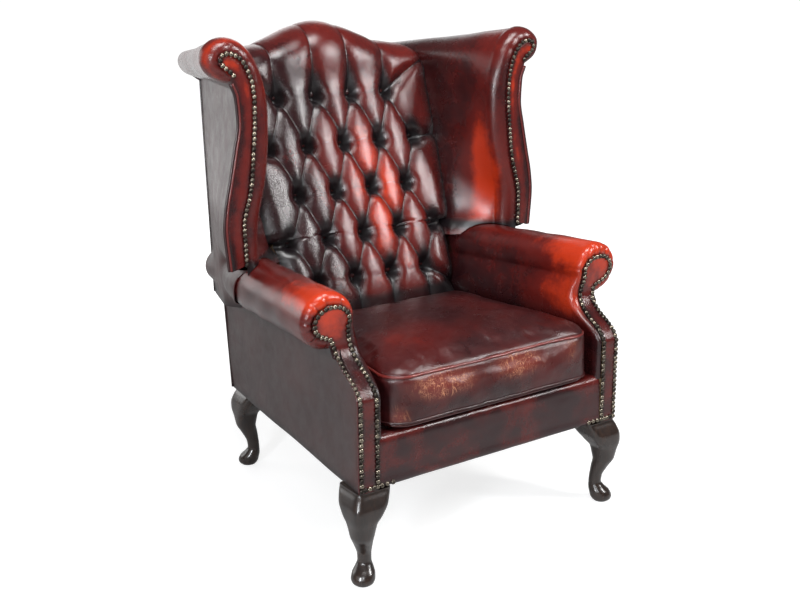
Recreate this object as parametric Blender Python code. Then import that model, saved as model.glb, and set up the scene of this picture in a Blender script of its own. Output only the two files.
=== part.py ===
"""Buttoned leather wing chair on cabriole legs: frame, padding and covers, one object for each piece.

Metres, +Z up, floor at z = 0. The front faces -Y, so the sitter's right arm is at -X.
A knock-down build: the seat unit (rails, arms, legs) and the back unit (posts, wings, buttoned back).
"""
import math

import bmesh
import bpy
from mathutils import Vector

for old in list(bpy.data.objects):
    bpy.data.objects.remove(old, do_unlink=True)

# ---------------------------------------------------------------- driving sizes
GAP = 0.0003              # running gap between pieces that touch
Y_MID = 0.0171            # the design's own Y zero sits this far in front of the box centre
LEG_H = 0.1997            # floor to the top of a leg
BASE_Z = 0.2000           # underside of the upholstered seat unit
FRONT_Y = -0.3770         # front face of the seat unit
SIDE_FRONT_X = 0.3410     # half width of the seat unit at the front
SIDE_TAPER = 0.1126       # how fast the sides close towards the back
BACK_Y0 = 0.3180          # outside back at the underside of the seat unit
BACK_RAKE = 0.130         # outside back leans this much per metre of height
RAIL_TOP = 0.2950
RAIL_T = 0.0250           # rail stock
SKIN = 0.0030             # leather with its wadding
DECK_Z = 0.2990
ARM_THICK = 0.0560        # side skin to the inner face of the arm
ROLL_R = 0.0600           # arm roll
ROLL_U = 0.0200           # roll centre outside the side skin
ROLL_Z = 0.5320
ROLL_FALL = 0.030         # the roll drops this much per metre towards the back
POST_W = (0.2945, 0.3408)  # front facing strip of the arm, inner and outer edge
CREST_Z = 1.0660          # highest point, the middle of the hump
CREST_SHOULDER = 1.0040
CREST_SPREAD = 0.1300
BUTTON_PITCH = 0.0990
BUTTON_ROWS = ((0.900, 4), (0.792, 5), (0.688, 4), (0.590, 5), (0.497, 4))
PIT_Y0, PIT_Z0, PIT_SLOPE = 0.2600, 0.9000, 0.410   # button depth line of the inside back
PAD_PROUD = 0.0300        # padding in front of the button line
PAD_BEHIND = 0.0500       # padding behind it
BUTTON_R = 0.0105

# Front view of a wing: height, and x of the nailed edge and of the outer seam.
WING_NAIL = ((0.43, 0.357), (0.52, 0.362), (0.60, 0.366), (0.66, 0.366), (0.73, 0.350),
             (0.80, 0.339), (0.88, 0.333), (0.94, 0.338), (0.98, 0.350))
WING_SEAM = ((0.43, 0.385), (0.52, 0.397), (0.60, 0.405), (0.66, 0.409), (0.70, 0.405),
             (0.76, 0.392), (0.82, 0.379), (0.88, 0.368), (0.93, 0.371), (0.97, 0.384))
WING_TOP = 0.9300         # the scroll starts here
WING_Y = 0.0030           # front face of the wings
WING_PLY = 0.0140
WING_COLS = (0.1000, 0.1500, 0.2300, 0.3000)
WING_ROLL = 0.0400        # padded roll inside the nailed edge
WING_ROLL_D = 0.0320
# Half width of the inside back where it meets the wings.
BACK_HALF = ((0.33, 0.222), (0.44, 0.226), (0.50, 0.238), (0.57, 0.254), (0.66, 0.264),
             (0.80, 0.277), (0.92, 0.283), (1.00, 0.285))
# Side view of an arm front: height, and y of its face.
ARM_FACE = ((0.200, -0.377), (0.385, -0.377), (0.400, -0.371), (0.420, -0.351), (0.440, -0.320),
            (0.455, -0.298), (0.466, -0.290), (0.490, -0.2920), (0.530, -0.3000), (0.600, -0.3050))
# One cabriole leg on its diagonal: height, centre (outwards from the seat corner), half size, squareness.
LEG = ((0.1997, -0.0515, 0.0385, 10.0), (0.1860, -0.0440, 0.0392, 8.0), (0.1720, -0.0360, 0.0395, 6.0),
       (0.1500, -0.0245, 0.0340, 4.5), (0.1330, -0.0185, 0.0275, 3.2), (0.1060, -0.0185, 0.0235, 2.3),
       (0.0830, -0.0268, 0.0187, 2.0), (0.0600, -0.0340, 0.0145, 2.0), (0.0450, -0.0353, 0.0142, 2.0),
       (0.0340, -0.0315, 0.0182, 2.0), (0.0220, -0.0245, 0.0235, 2.0), (0.0120, -0.0210, 0.0245, 2.0),
       (0.0040, -0.0200, 0.0215, 2.0), (0.0000, -0.0205, 0.0170, 2.0))
LEG_CORNERS = {"front_left": (-0.341, -0.377), "front_right": (0.341, -0.377),
               "back_left": (-0.253, 0.311), "back_right": (0.253, 0.311)}


# ---------------------------------------------------------------- rules
def along(table, t):
    """Smooth curve through a small design table, flat past its ends."""
    if t <= table[0][0]:
        return table[0][1]
    if t >= table[-1][0]:
        return table[-1][1]
    i = max(k for k in range(len(table) - 1) if table[k][0] <= t)

    def slope(k):
        if k in (0, len(table) - 1):
            return 0.0
        a, b, c = table[k - 1], table[k], table[k + 1]
        left, right = (b[1] - a[1]) / (b[0] - a[0]), (c[1] - b[1]) / (c[0] - b[0])
        return 0.0 if left * right <= 0 else 2 * left * right / (left + right)

    (t0, v0), (t1, v1) = table[i], table[i + 1]
    h = t1 - t0
    u = (t - t0) / h
    m0, m1 = slope(i) * h, slope(i + 1) * h
    return ((2 * u**3 - 3 * u**2 + 1) * v0 + (u**3 - 2 * u**2 + u) * m0
            + (-2 * u**3 + 3 * u**2) * v1 + (u**3 - u**2) * m1)


def side_x(y):
    return SIDE_FRONT_X - SIDE_TAPER * (y - FRONT_Y)


def back_y(z):
    return BACK_Y0 + BACK_RAKE * (z - 0.20)


def roll_line(y):
    """Height of the line under the arm roll, where it meets the outside arm."""
    return 0.463 - 0.044 * (y + 0.29)


def roll_dz(y):
    return -ROLL_FALL * (y + 0.30)


def pit_y(z):
    return PIT_Y0 + PIT_SLOPE * (z - PIT_Z0)


def pad_front(z):
    return max(pit_y(z) - PAD_PROUD, 0.0470)


def pad_back(z):
    return max(pit_y(z) + PAD_BEHIND, 0.1150)


def crest_top(x):
    return CREST_SHOULDER + (CREST_Z - CREST_SHOULDER) * math.exp(-((x / CREST_SPREAD) ** 2))


def back_corner_x(z):
    return 0.277 - 0.0436 * (z - 0.55)


def wing_outer(y, z):
    """Outer skin of a wing at this depth and height."""
    x0, y0 = along(WING_SEAM, z) + SKIN, WING_Y
    x1, y1 = back_corner_x(z), back_y(z) - 0.0033
    return x0 + (x1 - x0) * (y - y0) / (y1 - y0)


def back_half(y, z):
    wide = along(BACK_HALF, z) - 0.28 * (y - pad_front(z))
    if z < 0.60:
        wide = min(wide, side_x(y) - ARM_THICK - 0.0015 + 0.05 * max(0.0, z - 0.5))
    return wide


# ---------------------------------------------------------------- building tools
materials = {}


def material(name, colour, roughness, metallic=0.0):
    if name not in materials:
        m = bpy.data.materials.new(name)
        m.use_nodes = True
        shader = m.node_tree.nodes["Principled BSDF"]
        shader.inputs["Base Color"].default_value = (*colour, 1.0)
        shader.inputs["Roughness"].default_value = roughness
        shader.inputs["Metallic"].default_value = metallic
        m.diffuse_color = (*colour, 1.0)
        materials[name] = m
    return materials[name]


OXBLOOD = ("oxblood_leather", (0.16, 0.015, 0.012), 0.32)
OXBLOOD_RED = ("oxblood_leather_rubbed", (0.32, 0.03, 0.018), 0.30)
SEAT_HIDE = ("seat_leather_worn", (0.12, 0.018, 0.015), 0.42)
LEG_WOOD = ("leg_wood_dark", (0.045, 0.026, 0.018), 0.35)
BEECH = ("beech_frame", (0.55, 0.38, 0.22), 0.6)
PLY = ("plywood_panel", (0.60, 0.44, 0.27), 0.6)
FOAM = ("upholstery_foam", (0.75, 0.68, 0.45), 0.9)
WEB = ("elastic_webbing", (0.20, 0.17, 0.13), 0.8)
CLOTH = ("platform_cloth", (0.08, 0.02, 0.02), 0.85)
BLACK_CLOTH = ("dust_cloth", (0.02, 0.02, 0.02), 0.9)
HESSIAN = ("hessian", (0.45, 0.34, 0.20), 0.9)
STEEL = ("zinc_steel", (0.60, 0.60, 0.58), 0.35, 1.0)


def solid(name, verts, faces, look, smooth=True):
    """One closed mesh object with its normals outward."""
    mesh = bpy.data.meshes.new(name)
    mesh.from_pydata([(x, y - Y_MID, z) for x, y, z in verts], [], faces)
    bm = bmesh.new()
    bm.from_mesh(mesh)
    bmesh.ops.remove_doubles(bm, verts=bm.verts, dist=1e-6)
    bmesh.ops.dissolve_degenerate(bm, dist=1e-6, edges=bm.edges)
    bmesh.ops.recalc_face_normals(bm, faces=bm.faces)
    if bm.calc_volume(signed=True) < 0:
        bmesh.ops.reverse_faces(bm, faces=bm.faces)
    bm.to_mesh(mesh)
    bm.free()
    if smooth:
        mesh.shade_smooth()
        mesh.set_sharp_from_angle(angle=math.radians(35))
    mesh.materials.append(material(*look))
    obj = bpy.data.objects.new(name, mesh)
    bpy.context.scene.collection.objects.link(obj)
    return obj


def loft(name, loops, look, smooth=True, rungs=1):
    """A solid through equal loops, capped at both ends. The first rungs points of a cap pair with its last ones."""
    n = len(loops[0])
    verts = [p for loop in loops for p in loop]
    faces = []
    for k in range(len(loops) - 1):
        a, b = k * n, (k + 1) * n
        for i in range(n):
            j = (i + 1) % n
            faces.append((a + i, a + j, b + j, b + i))
    for start in (0, (len(loops) - 1) * n):
        faces += [(start + i, start + i + 1, start + n - 2 - i, start + n - 1 - i) for i in range(rungs - 1)]
        faces.append(tuple(range(start + rungs - 1, start + n - rungs + 1)))
    return solid(name, verts, faces, look, smooth)


def flip(side, points):
    return [(side * x, y, z) for x, y, z in points]


def plate_xy(x0, x1, y0, y1, z):
    return [(x0, y0, z), (x1, y0, z), (x1, y1, z), (x0, y1, z)]


def grown(obj, by, name):
    """A hidden cutter a little larger than the piece that it makes room for."""
    mesh = obj.data.copy()
    bm = bmesh.new()
    bm.from_mesh(mesh)
    bm.normal_update()
    moves = [(v, v.normal * (by * v.calc_shell_factor())) for v in bm.verts]
    for v, move in moves:
        v.co += move
    bm.to_mesh(mesh)
    bm.free()
    cutter = bpy.data.objects.new(name, mesh)
    bpy.context.scene.collection.objects.link(cutter)
    cutter.hide_render = True
    cutter.display_type = "WIRE"
    return cutter


def cut(obj, cutters):
    for k, cutter in enumerate(cutters):
        cutter.hide_render = True
        cutter.display_type = "WIRE"
        modifier = obj.modifiers.new(f"room_{k}", "BOOLEAN")
        modifier.operation = "DIFFERENCE"
        modifier.solver = "EXACT"
        modifier.object = cutter


def turned(name, profile, centre, look, sides=12, axis="Z"):
    """A solid of revolution: (radius, height) pairs from one end to the other, both ends on the axis."""
    verts, faces = [], []
    rings = []
    for r, h in profile:
        if r < 1e-7:
            rings.append([len(verts)])
            verts.append((0.0, 0.0, h))
        else:
            rings.append(list(range(len(verts), len(verts) + sides)))
            for i in range(sides):
                a = 2 * math.pi * i / sides
                verts.append((r * math.cos(a), r * math.sin(a), h))
    for a, b in zip(rings, rings[1:]):
        for i in range(sides):
            j = (i + 1) % sides
            if len(a) == 1:
                faces.append((a[0], b[i], b[j]))
            elif len(b) == 1:
                faces.append((a[i], a[j], b[0]))
            else:
                faces.append((a[i], a[j], b[j], b[i]))
    if axis == "Y":  # the profile's height runs along +Y
        verts = [(x, h, y) for x, y, h in verts]
    cx, cy, cz = centre
    return solid(name, [(x + cx, y + cy, z + cz) for x, y, z in verts], faces, look)


# ---------------------------------------------------------------- legs with their bolts and blocks
def leg_loops(corner):
    sx, sy = (1 if corner[0] > 0 else -1), (1 if corner[1] > 0 else -1)
    loops = []
    for z, s, half, power in LEG:
        cx, cy = corner[0] + sx * s / math.sqrt(2), corner[1] + sy * s / math.sqrt(2)
        loop = []
        for i in range(20):
            a = 2 * math.pi * (i + 0.5) / 20
            c, d = math.cos(a), math.sin(a)
            k = (abs(c) ** power + abs(d) ** power) ** (-1 / power)
            loop.append((cx + half * k * c, cy + half * k * d, z))
        loops.append(loop)
    return loops


BOLT_R, BOLT_TOP, BOLT_LOW = 0.0040, 0.2600, 0.1800
BLOCK_Z = (0.2035, 0.2485)
BLOCK_LEG = 0.0700
legs = {}
for place, corner in LEG_CORNERS.items():
    legs[place] = loft("leg_" + place, leg_loops(corner), LEG_WOOD)

for place, corner in LEG_CORNERS.items():
    sx = 1 if corner[0] > 0 else -1
    front = corner[1] < 0
    # A triangular block glued into the corner of the rails.
    if front:
        y0 = FRONT_Y + 0.0300 + GAP + 0.0005
        corner_x = side_x(y0) - RAIL_T - 0.0040 - GAP - 0.0120
        pts = [(corner_x, y0), (corner_x - BLOCK_LEG, y0), (side_x(y0 + BLOCK_LEG) - RAIL_T - 0.0040 - GAP - 0.0120, y0 + BLOCK_LEG)]
    else:
        y0 = back_y(0.20) - RAIL_T - 0.0040 - GAP - 0.0005
        corner_x = side_x(y0) - RAIL_T - 0.0040 - GAP
        pts = [(corner_x, y0), (corner_x - BLOCK_LEG, y0), (side_x(y0 - BLOCK_LEG) - RAIL_T - 0.0040 - GAP, y0 - BLOCK_LEG)]
    block = loft("corner_block_" + place, [flip(sx, [(x, y, z) for x, y in pts]) for z in BLOCK_Z], BEECH, smooth=False)
    cx = (pts[0][0] - 0.0160) * sx
    cy = pts[0][1] + (0.0160 if front else -0.0160)
    bolt = turned("leg_bolt_" + place,
                  [(0, BOLT_LOW), (BOLT_R, BOLT_LOW), (BOLT_R, BLOCK_Z[1] + GAP), (0.0115, BLOCK_Z[1] + GAP),
                   (0.0115, BLOCK_Z[1] + 0.0018), (0.0070, BLOCK_Z[1] + 0.0018), (0.0070, BLOCK_Z[1] + 0.0080),
                   (BOLT_R, BLOCK_Z[1] + 0.0080), (BOLT_R, BOLT_TOP + 0.0010), (0, BOLT_TOP + 0.0010)],
                  (cx, cy, 0), STEEL, sides=12)
    hole = turned("hole_for_bolt_" + place,
                  [(0, BOLT_LOW - GAP), (BOLT_R + GAP, BOLT_LOW - GAP), (BOLT_R + GAP, BLOCK_Z[1] + 0.01), (0, BLOCK_Z[1] + 0.01)],
                  (cx, cy, 0), STEEL, sides=12)
    cut(legs[place], [hole])
    cut(block, [hole])


# ---------------------------------------------------------------- seat rails
def beam(name, ends, z0, z1, look=BEECH):
    """A flat-sided rail: four plan corners, from z0 to z1."""
    return loft(name, [[(x, y, z) for x, y in ends] for z in (z0, z1)], look, smooth=False)


RZ0 = 0.2035
front_rail = beam("front_rail", [(-POST_W[0] - 0.0010 + GAP, FRONT_Y + 0.0048), (POST_W[0] + 0.0010 - GAP, FRONT_Y + 0.0048),
                                 (POST_W[0] + 0.0010 - GAP, FRONT_Y + 0.0298), (-POST_W[0] - 0.0010 + GAP, FRONT_Y + 0.0298)],
                  RZ0, RAIL_TOP)
inner = RAIL_T + 0.0035


def side_rail_plan(side, z):
    y0, y1 = FRONT_Y + 0.0305, back_y(z) - 0.0045
    return [(side * (side_x(y) - d), y, z) for y, d in ((y0, 0.0035), (y0, inner), (y1, inner), (y1, 0.0035))]


def raked_beam(name, x0, x1, depth0, depth1, z0, z1, rule, look=BEECH):
    """A rail whose faces follow the rake: depth0 and depth1 are measured from the rule's line."""
    loops = []
    for z in (z0, z1):
        loops.append([(x0, rule(z) + depth0, z), (x1, rule(z) + depth0, z), (x1, rule(z) + depth1, z), (x0, rule(z) + depth1, z)])
    return loft(name, loops, look, smooth=False)


back_rail_half = side_x(back_y(0.3)) - inner - 0.0005
back_rail = raked_beam("back_rail", -back_rail_half, back_rail_half, -RAIL_T - 0.0035, -0.0035, RZ0, RAIL_TOP, back_y)
for side, tag in ((-1, "left"), (1, "right")):
    loft("side_rail_" + tag, [side_rail_plan(side, z) for z in (RZ0, RAIL_TOP)], BEECH, smooth=False)

# ---------------------------------------------------------------- seat platform
def cell_plate(name, xs, ys, z0, z1, present, look):
    """A plate made of the plan cells that present() keeps, with its openings left open."""
    verts, faces, index = [], [], {}

    def corner(i, j, z):
        key = (i, j, z)
        if key not in index:
            index[key] = len(verts)
            verts.append((xs[i], ys[j], z))
        return index[key]

    nx, ny = len(xs) - 1, len(ys) - 1
    kept = {(i, j) for i in range(nx) for j in range(ny) if present(i, j)}
    for i, j in kept:
        for z in (z0, z1):
            faces.append([corner(i, j, z), corner(i + 1, j, z), corner(i + 1, j + 1, z), corner(i, j + 1, z)])
        for ni, nj, e in ((i - 1, j, ((i, j), (i, j + 1))), (i + 1, j, ((i + 1, j), (i + 1, j + 1))),
                          (i, j - 1, ((i, j), (i + 1, j))), (i, j + 1, ((i, j + 1), (i + 1, j + 1)))):
            if (ni, nj) not in kept:
                p, q = e
                faces.append([corner(*p, z0), corner(*q, z0), corner(*q, z1), corner(*p, z1)])
    return solid(name, verts, faces, look, smooth=False)


# Interlaced elastic straps: five from front to back, three across.
WEB_W, WEB_STEP = 0.050, 0.098
web_xs = sorted({(k - 2) * WEB_STEP + d for k in range(5) for d in (-WEB_W / 2, WEB_W / 2)})
web_ys = [FRONT_Y + 0.0080] + sorted({y + d for y in (-0.210, -0.040, 0.130) for d in (-WEB_W / 2, WEB_W / 2)}) + [back_y(RAIL_TOP) - 0.0080]
web = cell_plate("seat_webbing", web_xs, web_ys, RAIL_TOP + GAP, RAIL_TOP + GAP + 0.0025, lambda i, j: i % 2 == 0 or j % 2 == 1, WEB)


def seat_plan(inset, y0, y1, z):
    return [(-(side_x(y0) - inset), y0, z), (side_x(y0) - inset, y0, z), (side_x(y1) - inset, y1, z), (-(side_x(y1) - inset), y1, z)]


deck_y1 = back_y(DECK_Z) - 0.0300
loft("seat_platform", [seat_plan(0.0300, FRONT_Y + 0.0330, deck_y1, z) for z in (DECK_Z, DECK_Z + 0.0060)], CLOTH, smooth=False)
loft("dust_cover", [seat_plan(0.0080, FRONT_Y + 0.0900, back_y(0.2) - 0.0900, z) for z in (BASE_Z + 0.0008, BASE_Z + 0.0022)], BLACK_CLOTH, smooth=False)

# Front rail cover: under the rail, up its face and over its top edge.
fy = FRONT_Y
section = [(fy, BASE_Z + 0.0004), (fy, 0.2960), (fy + 0.0030, 0.3030), (fy + 0.0090, 0.3080), (fy + 0.0200, 0.3090), (fy + 0.0320, 0.3090),
           (fy + 0.0320, 0.2990), (fy + 0.0075, 0.2990), (fy + 0.0045, 0.2960), (fy + 0.0045, RZ0 - GAP), (fy + 0.0300, RZ0 - GAP), (fy + 0.0300, BASE_Z + 0.0004)]
loft("front_rail_cover", [[(x, y, z) for y, z in section] for x in (-(POST_W[0] - GAP), POST_W[0] - GAP)], OXBLOOD)

# Lower outside back.
lower_back_half = side_x(0.35) - 0.0005
loft("lower_back_cover",
     [[(-lower_back_half, back_y(z) - SKIN, z), (lower_back_half, back_y(z) - SKIN, z), (lower_back_half, back_y(z), z), (-lower_back_half, back_y(z), z)]
      for z in (BASE_Z + 0.0004, 0.4330)], OXBLOOD, smooth=False)

# ---------------------------------------------------------------- arms


def face_cutter(name, offset):
    """Everything in front of an arm's face, moved back by offset."""
    heights = [0.15] + [t[0] for t in ARM_FACE[1:-1]] + [0.445, 0.475, 0.66]
    heights = sorted(set(heights))
    loops = []
    for x in (-0.60, 0.60):
        loops.append([(x, along(ARM_FACE, z) + offset, z) for z in heights] + [(x, -0.60, 0.66), (x, -0.60, 0.15)])
    cutter = loft(name, loops, OXBLOOD, smooth=False)
    cutter.hide_render = True
    cutter.display_type = "WIRE"
    return cutter


face_cut = face_cutter("cut_arm_front", SKIN + GAP)
face_cut_padding = face_cutter("cut_arm_front_padding", SKIN + 0.0030)


def arm_path(y, offset):
    """Skin line of an arm from its inner foot, up, over the roll and under it, moved inwards by offset."""
    u0, dz = side_x(y), roll_dz(y)
    r = ROLL_R - offset
    cx, cz = u0 + ROLL_U, ROLL_Z + dz
    pts = [(u0 - ARM_THICK + offset, 0.3100), (u0 - ARM_THICK + offset, 0.4300), (u0 - 0.0530 + offset, 0.4700 + dz)]
    for k in range(15):
        a = math.radians(180 + 12 - k * (192 + 64) / 14)
        pts.append((cx + r * math.cos(a), cz + r * math.sin(a)))
    return pts


ARM_Y = [FRONT_Y - 0.004, -0.30, -0.20, -0.10, 0.0, 0.12, 0.245]
HEAD = (0.3470, 0.5310)
for side, tag in ((-1, "left"), (1, "right")):
    # The outer skin, as a strip bent round the arm.
    loops = []
    for y in ARM_Y:
        outer = arm_path(y, 0.0)
        under = roll_line(y) + 0.0045
        outer = outer + [(side_x(y) + 0.0010, under)]
        inside = arm_path(y, SKIN)
        inside = inside + [(side_x(y) + 0.0010, under + SKIN)]
        loops.append(flip(side, [(x, y, z) for x, z in outer + inside[::-1]]))
    cover = loft("arm_cover_" + tag, loops, OXBLOOD_RED)
    # The padding inside it.
    loops = []
    for y in ARM_Y:
        path = arm_path(y, SKIN + 0.0010)
        under = roll_line(y) + 0.0045 + SKIN + 0.0010
        pts = path + [(side_x(y) + 0.0010, under), (side_x(y) - SKIN - 0.0005, under - 0.0020), (side_x(y) - SKIN - 0.0005, 0.3100)]
        loops.append(flip(side, [(x, y, z) for x, z in pts]))
    padding = loft("arm_padding_" + tag, loops, FOAM)
    # Outside arm panel.
    loops = []
    for y in (FRONT_Y + SKIN + GAP, -0.20, 0.0, 0.15, None):
        low, top = BASE_Z + 0.0004, roll_line(0.34 if y is None else y) + 0.0010
        yl, yt = (back_y(low) - SKIN - GAP, back_y(top) - SKIN - GAP) if y is None else (y, y)
        loops.append(flip(side, [(side_x(yl), yl, low), (side_x(yt), yt, top), (side_x(yt) - SKIN, yt, top), (side_x(yl) - SKIN, yl, low)]))
    outside = loft("arm_outside_" + tag, loops, OXBLOOD, smooth=False)
    cut(outside, [face_cut])
    # Leather facing on the front of the arm.
    loops = []
    heights = [BASE_Z + 0.0004, 0.30, 0.385, 0.40, 0.42, 0.44, 0.455, 0.466, 0.478, 0.490, 0.500, 0.512, 0.531, 0.548, 0.560, 0.568, 0.5725]
    for z in heights:
        reach = 0.0420
        if z < 0.49:
            x0, x1 = POST_W
            if z > 0.455:
                x0, x1 = x0 + 0.0060, x1 + 0.0015
        else:
            w = math.sqrt(max(reach**2 - (z - HEAD[1]) ** 2, 1e-8))
            x0, x1 = HEAD[0] - w, HEAD[0] + w
            if z < 0.50:
                x0, x1 = HEAD[0] - 0.0400, HEAD[0] + 0.0220
        y = along(ARM_FACE, z)
        loops.append(flip(side, [(x0, y, z), (x1, y, z), (x1, y + SKIN, z), (x0, y + SKIN, z)]))
    loft("arm_facing_" + tag, loops, OXBLOOD_RED)
    # Front post: the board that the facing is nailed to.
    loops = []
    for z in (RZ0, 0.385, 0.40, 0.42, 0.44, 0.455, 0.466, 0.478, 0.490, 0.505, 0.531, 0.550, 0.562):
        y0 = along(ARM_FACE, z) + SKIN + 2 * GAP
        y1 = y0 + 0.0240
        if z < 0.467:
            a, b = POST_W[0] + (0.0020 if z < 0.45 else 0.0060), None
        elif z < 0.485:
            a, b = POST_W[0] + 0.0060, 0.3270
        else:
            w = math.sqrt(max(0.0335**2 - (z - HEAD[1]) ** 2, 0.0060**2))
            a, b = HEAD[0] - 0.002 - w, HEAD[0] - 0.002 + w
        xs = [(a, y0), ((b or side_x(y0) - 0.0037), y0), ((b or side_x(y1) - 0.0037), y1), (a, y1)]
        loops.append(flip(side, [(x, y, z) for x, y in xs]))
    post = loft("arm_post_" + tag, loops, BEECH, smooth=False)
    # Arm rail inside the roll.
    loops = []
    for y in (-0.2640, 0.0, 0.1945):
        c, dz = side_x(y) + 0.0050, roll_dz(y)
        loops.append(flip(side, [(c - 0.016, y, 0.5150 + dz), (c + 0.016, y, 0.5150 + dz), (c + 0.016, y, 0.5490 + dz), (c - 0.016, y, 0.5490 + dz)]))
    rail = loft("arm_rail_" + tag, loops, BEECH, smooth=False)
    # Back stump that carries the arm rail.
    loops = []
    for z, out in ((RAIL_TOP + GAP, -0.0037), (0.4550, -0.0037), (0.4900, 0.0180), (0.5340, 0.0180)):
        y0, y1 = 0.1948, 0.2250
        loops.append(flip(side, [(side_x(y) - d, y, z) for y, d in ((y0, inner), (y0, -out), (y1, -out), (y1, inner))]))
    stump = loft("arm_stump_" + tag, loops, BEECH, smooth=False)

    # ------------------------------------------------------------ wing of the back unit
    heights = [None, 0.47, 0.50, 0.55, 0.5860, 0.5870, 0.63, 0.68, 0.72, 0.76, 0.80, 0.84, 0.88, 0.905, WING_TOP - GAP]

    def wing_low(y, lift=0.0022):
        return roll_line(y) + lift

    # Frame: the front post and the side panel as one glued piece.
    step = 0.0455
    loops = []
    for z in heights:
        rows = []
        columns = [(WING_Y + 0.0056, "o")] + [(y, "o") for y in WING_COLS] + [(None, "o"), (None, "i")] + [(y, "i") for y in WING_COLS[::-1]]
        for y, which in columns + [(step, "i"), (step, "p"), (WING_Y + 0.0056, "p")]:
            zz = z if z else 0.4372
            yy = back_y(zz) - 0.0042 if y is None else y
            zz = z if z else wing_low(yy)
            outer = wing_outer(yy, zz) - SKIN - 0.0014
            if which == "o":
                x = outer
            elif which == "i":
                x = outer - WING_PLY
            else:
                x = along(WING_NAIL, zz) + 0.0040 if (z and z > 0.5865) else outer - WING_PLY
            rows.append((x, yy, zz))
        loops.append(flip(side, rows))
    frame = loft("wing_frame_" + tag, loops, PLY, smooth=False)
    # Outside wing panel.
    loops = []
    for z in heights:
        rows = []
        columns = [(WING_Y, 0.0)] + [(y, 0.0) for y in WING_COLS] + [(None, 0.0), (None, SKIN)] + [(y, SKIN) for y in WING_COLS[::-1]]
        for y, deep in columns + [(WING_Y, SKIN)]:
            zz = z if z else 0.4372
            yy = back_y(zz) - SKIN - GAP if y is None else y
            zz = z if z else wing_low(yy)
            rows.append((wing_outer(yy, zz) - deep, yy, zz))
        loops.append(flip(side, rows))
    loft("wing_outside_" + tag, loops, OXBLOOD)
    # Front facing of the wing.
    loops = []
    for z in heights:
        zz = z if z else wing_low(WING_Y)
        a = along(WING_NAIL, zz) + 0.0010 if (z and z > 0.5865) else 0.3830
        b = wing_outer(WING_Y + 0.005, zz) - SKIN - 0.0008
        loops.append(flip(side, [(a, WING_Y, zz), (b, WING_Y, zz), (b, WING_Y + 0.0050, zz), (a, WING_Y + 0.0050, zz)]))
    loft("wing_facing_" + tag, loops, OXBLOOD_RED)
    # Inside wing pad with its front roll.
    loops = []
    for z in [0.5880, 0.63, 0.68, 0.72, 0.76, 0.80, 0.84, 0.88, 0.905, WING_TOP + 0.0040]:
        nail = along(WING_NAIL, z)
        rows = [(nail + 0.0005, WING_Y - 0.0005)]
        for k in range(1, 6):
            a = math.radians(90 - 18 * k)
            rows.append((nail - WING_ROLL * math.cos(a), WING_Y - 0.0005 + WING_ROLL_D * (1 - math.sin(a))))
        y_join = pad_front(z)
        y_back = pad_back(z) + 0.0060
        for y in (0.5 * (WING_ROLL_D + y_join), y_join):
            f = (y - WING_ROLL_D) / (y_join - WING_ROLL_D)
            x = (nail - WING_ROLL) * (1 - f) + (back_half(y_join, z) + 0.0015) * f
            rows.append((x, y, z))
        rows.append((back_half(y_back, z) + 0.0015, y_back, z))
        for y in (y_back,) + tuple(c for c in WING_COLS[::-1] if c < 0.20) + (0.0470,):
            rows.append((wing_outer(y, z) - SKIN - 0.0026 - WING_PLY, y, z))
        rows.append((nail + 0.0036, 0.0470, z))
        rows.append((nail + 0.0036, WING_Y + 0.0060, z))
        rows.append((nail + 0.0005, WING_Y + 0.0050, z))
        loops.append(flip(side, [(p[0], p[1], z) for p in rows]))
    wing_pad = loft("wing_pad_" + tag, loops, OXBLOOD_RED)
    # Scroll along the top of the wing.
    # (offset from the inner skin, rise) up the inside, then (offset from the outer skin, rise) over the roll.
    inside = (((0.0, 0.0), (0.003, 0.025), (0.014, 0.055), (0.033, 0.085), (0.057, 0.107)),
              ((0.0, 0.0), (0.004, 0.020), (0.009, 0.038), (0.0185, 0.055), (0.033, 0.068)))
    outside_roll = (((0.009, 0.118), (0.038, 0.111), (0.056, 0.095), (0.062, 0.076), (0.054, 0.054), (0.034, 0.040), (0.014, 0.032), (0.0, 0.0)),
                    ((0.026, 0.073), (0.042, 0.069), (0.052, 0.059), (0.055, 0.046), (0.049, 0.030), (0.036, 0.019), (0.020, 0.013), (0.0, 0.0)))
    loops = []
    join = pad_front(WING_TOP)
    for f in (0.0, 0.073, 0.33, 0.58, 0.8, 1.0):
        y_mid = WING_Y - 0.0005 + f * (back_y(0.96) - 0.0037 - WING_Y)
        x_in = back_half(y_mid, WING_TOP) + 0.0016 if y_mid > join else 0.2950 + (back_half(join, WING_TOP) + 0.0016 - 0.2950) * y_mid / join
        if f == 0.0:
            x_in += 0.012
        x_out = wing_outer(y_mid, WING_TOP)
        rows = []
        for (base, pair) in ((x_in, inside), (x_out, outside_roll)):
            for (d0, h0), (d1, h1) in zip(*pair):
                z = WING_TOP + h0 * (1 - f) + h1 * f
                rows.append((base + d0 * (1 - f) + d1 * f, WING_Y - 0.0005 + f * (back_y(z) - 0.0037 - WING_Y), z))
        loops.append(flip(side, rows))
    scroll = loft("scroll_of_wing_" + tag, loops, OXBLOOD_RED)
    scroll.hide_render = True
    scroll.display_type = "WIRE"
    over = wing_pad.modifiers.new("scroll", "BOOLEAN")
    over.operation = "UNION"
    over.solver = "EXACT"
    over.object = scroll

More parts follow.
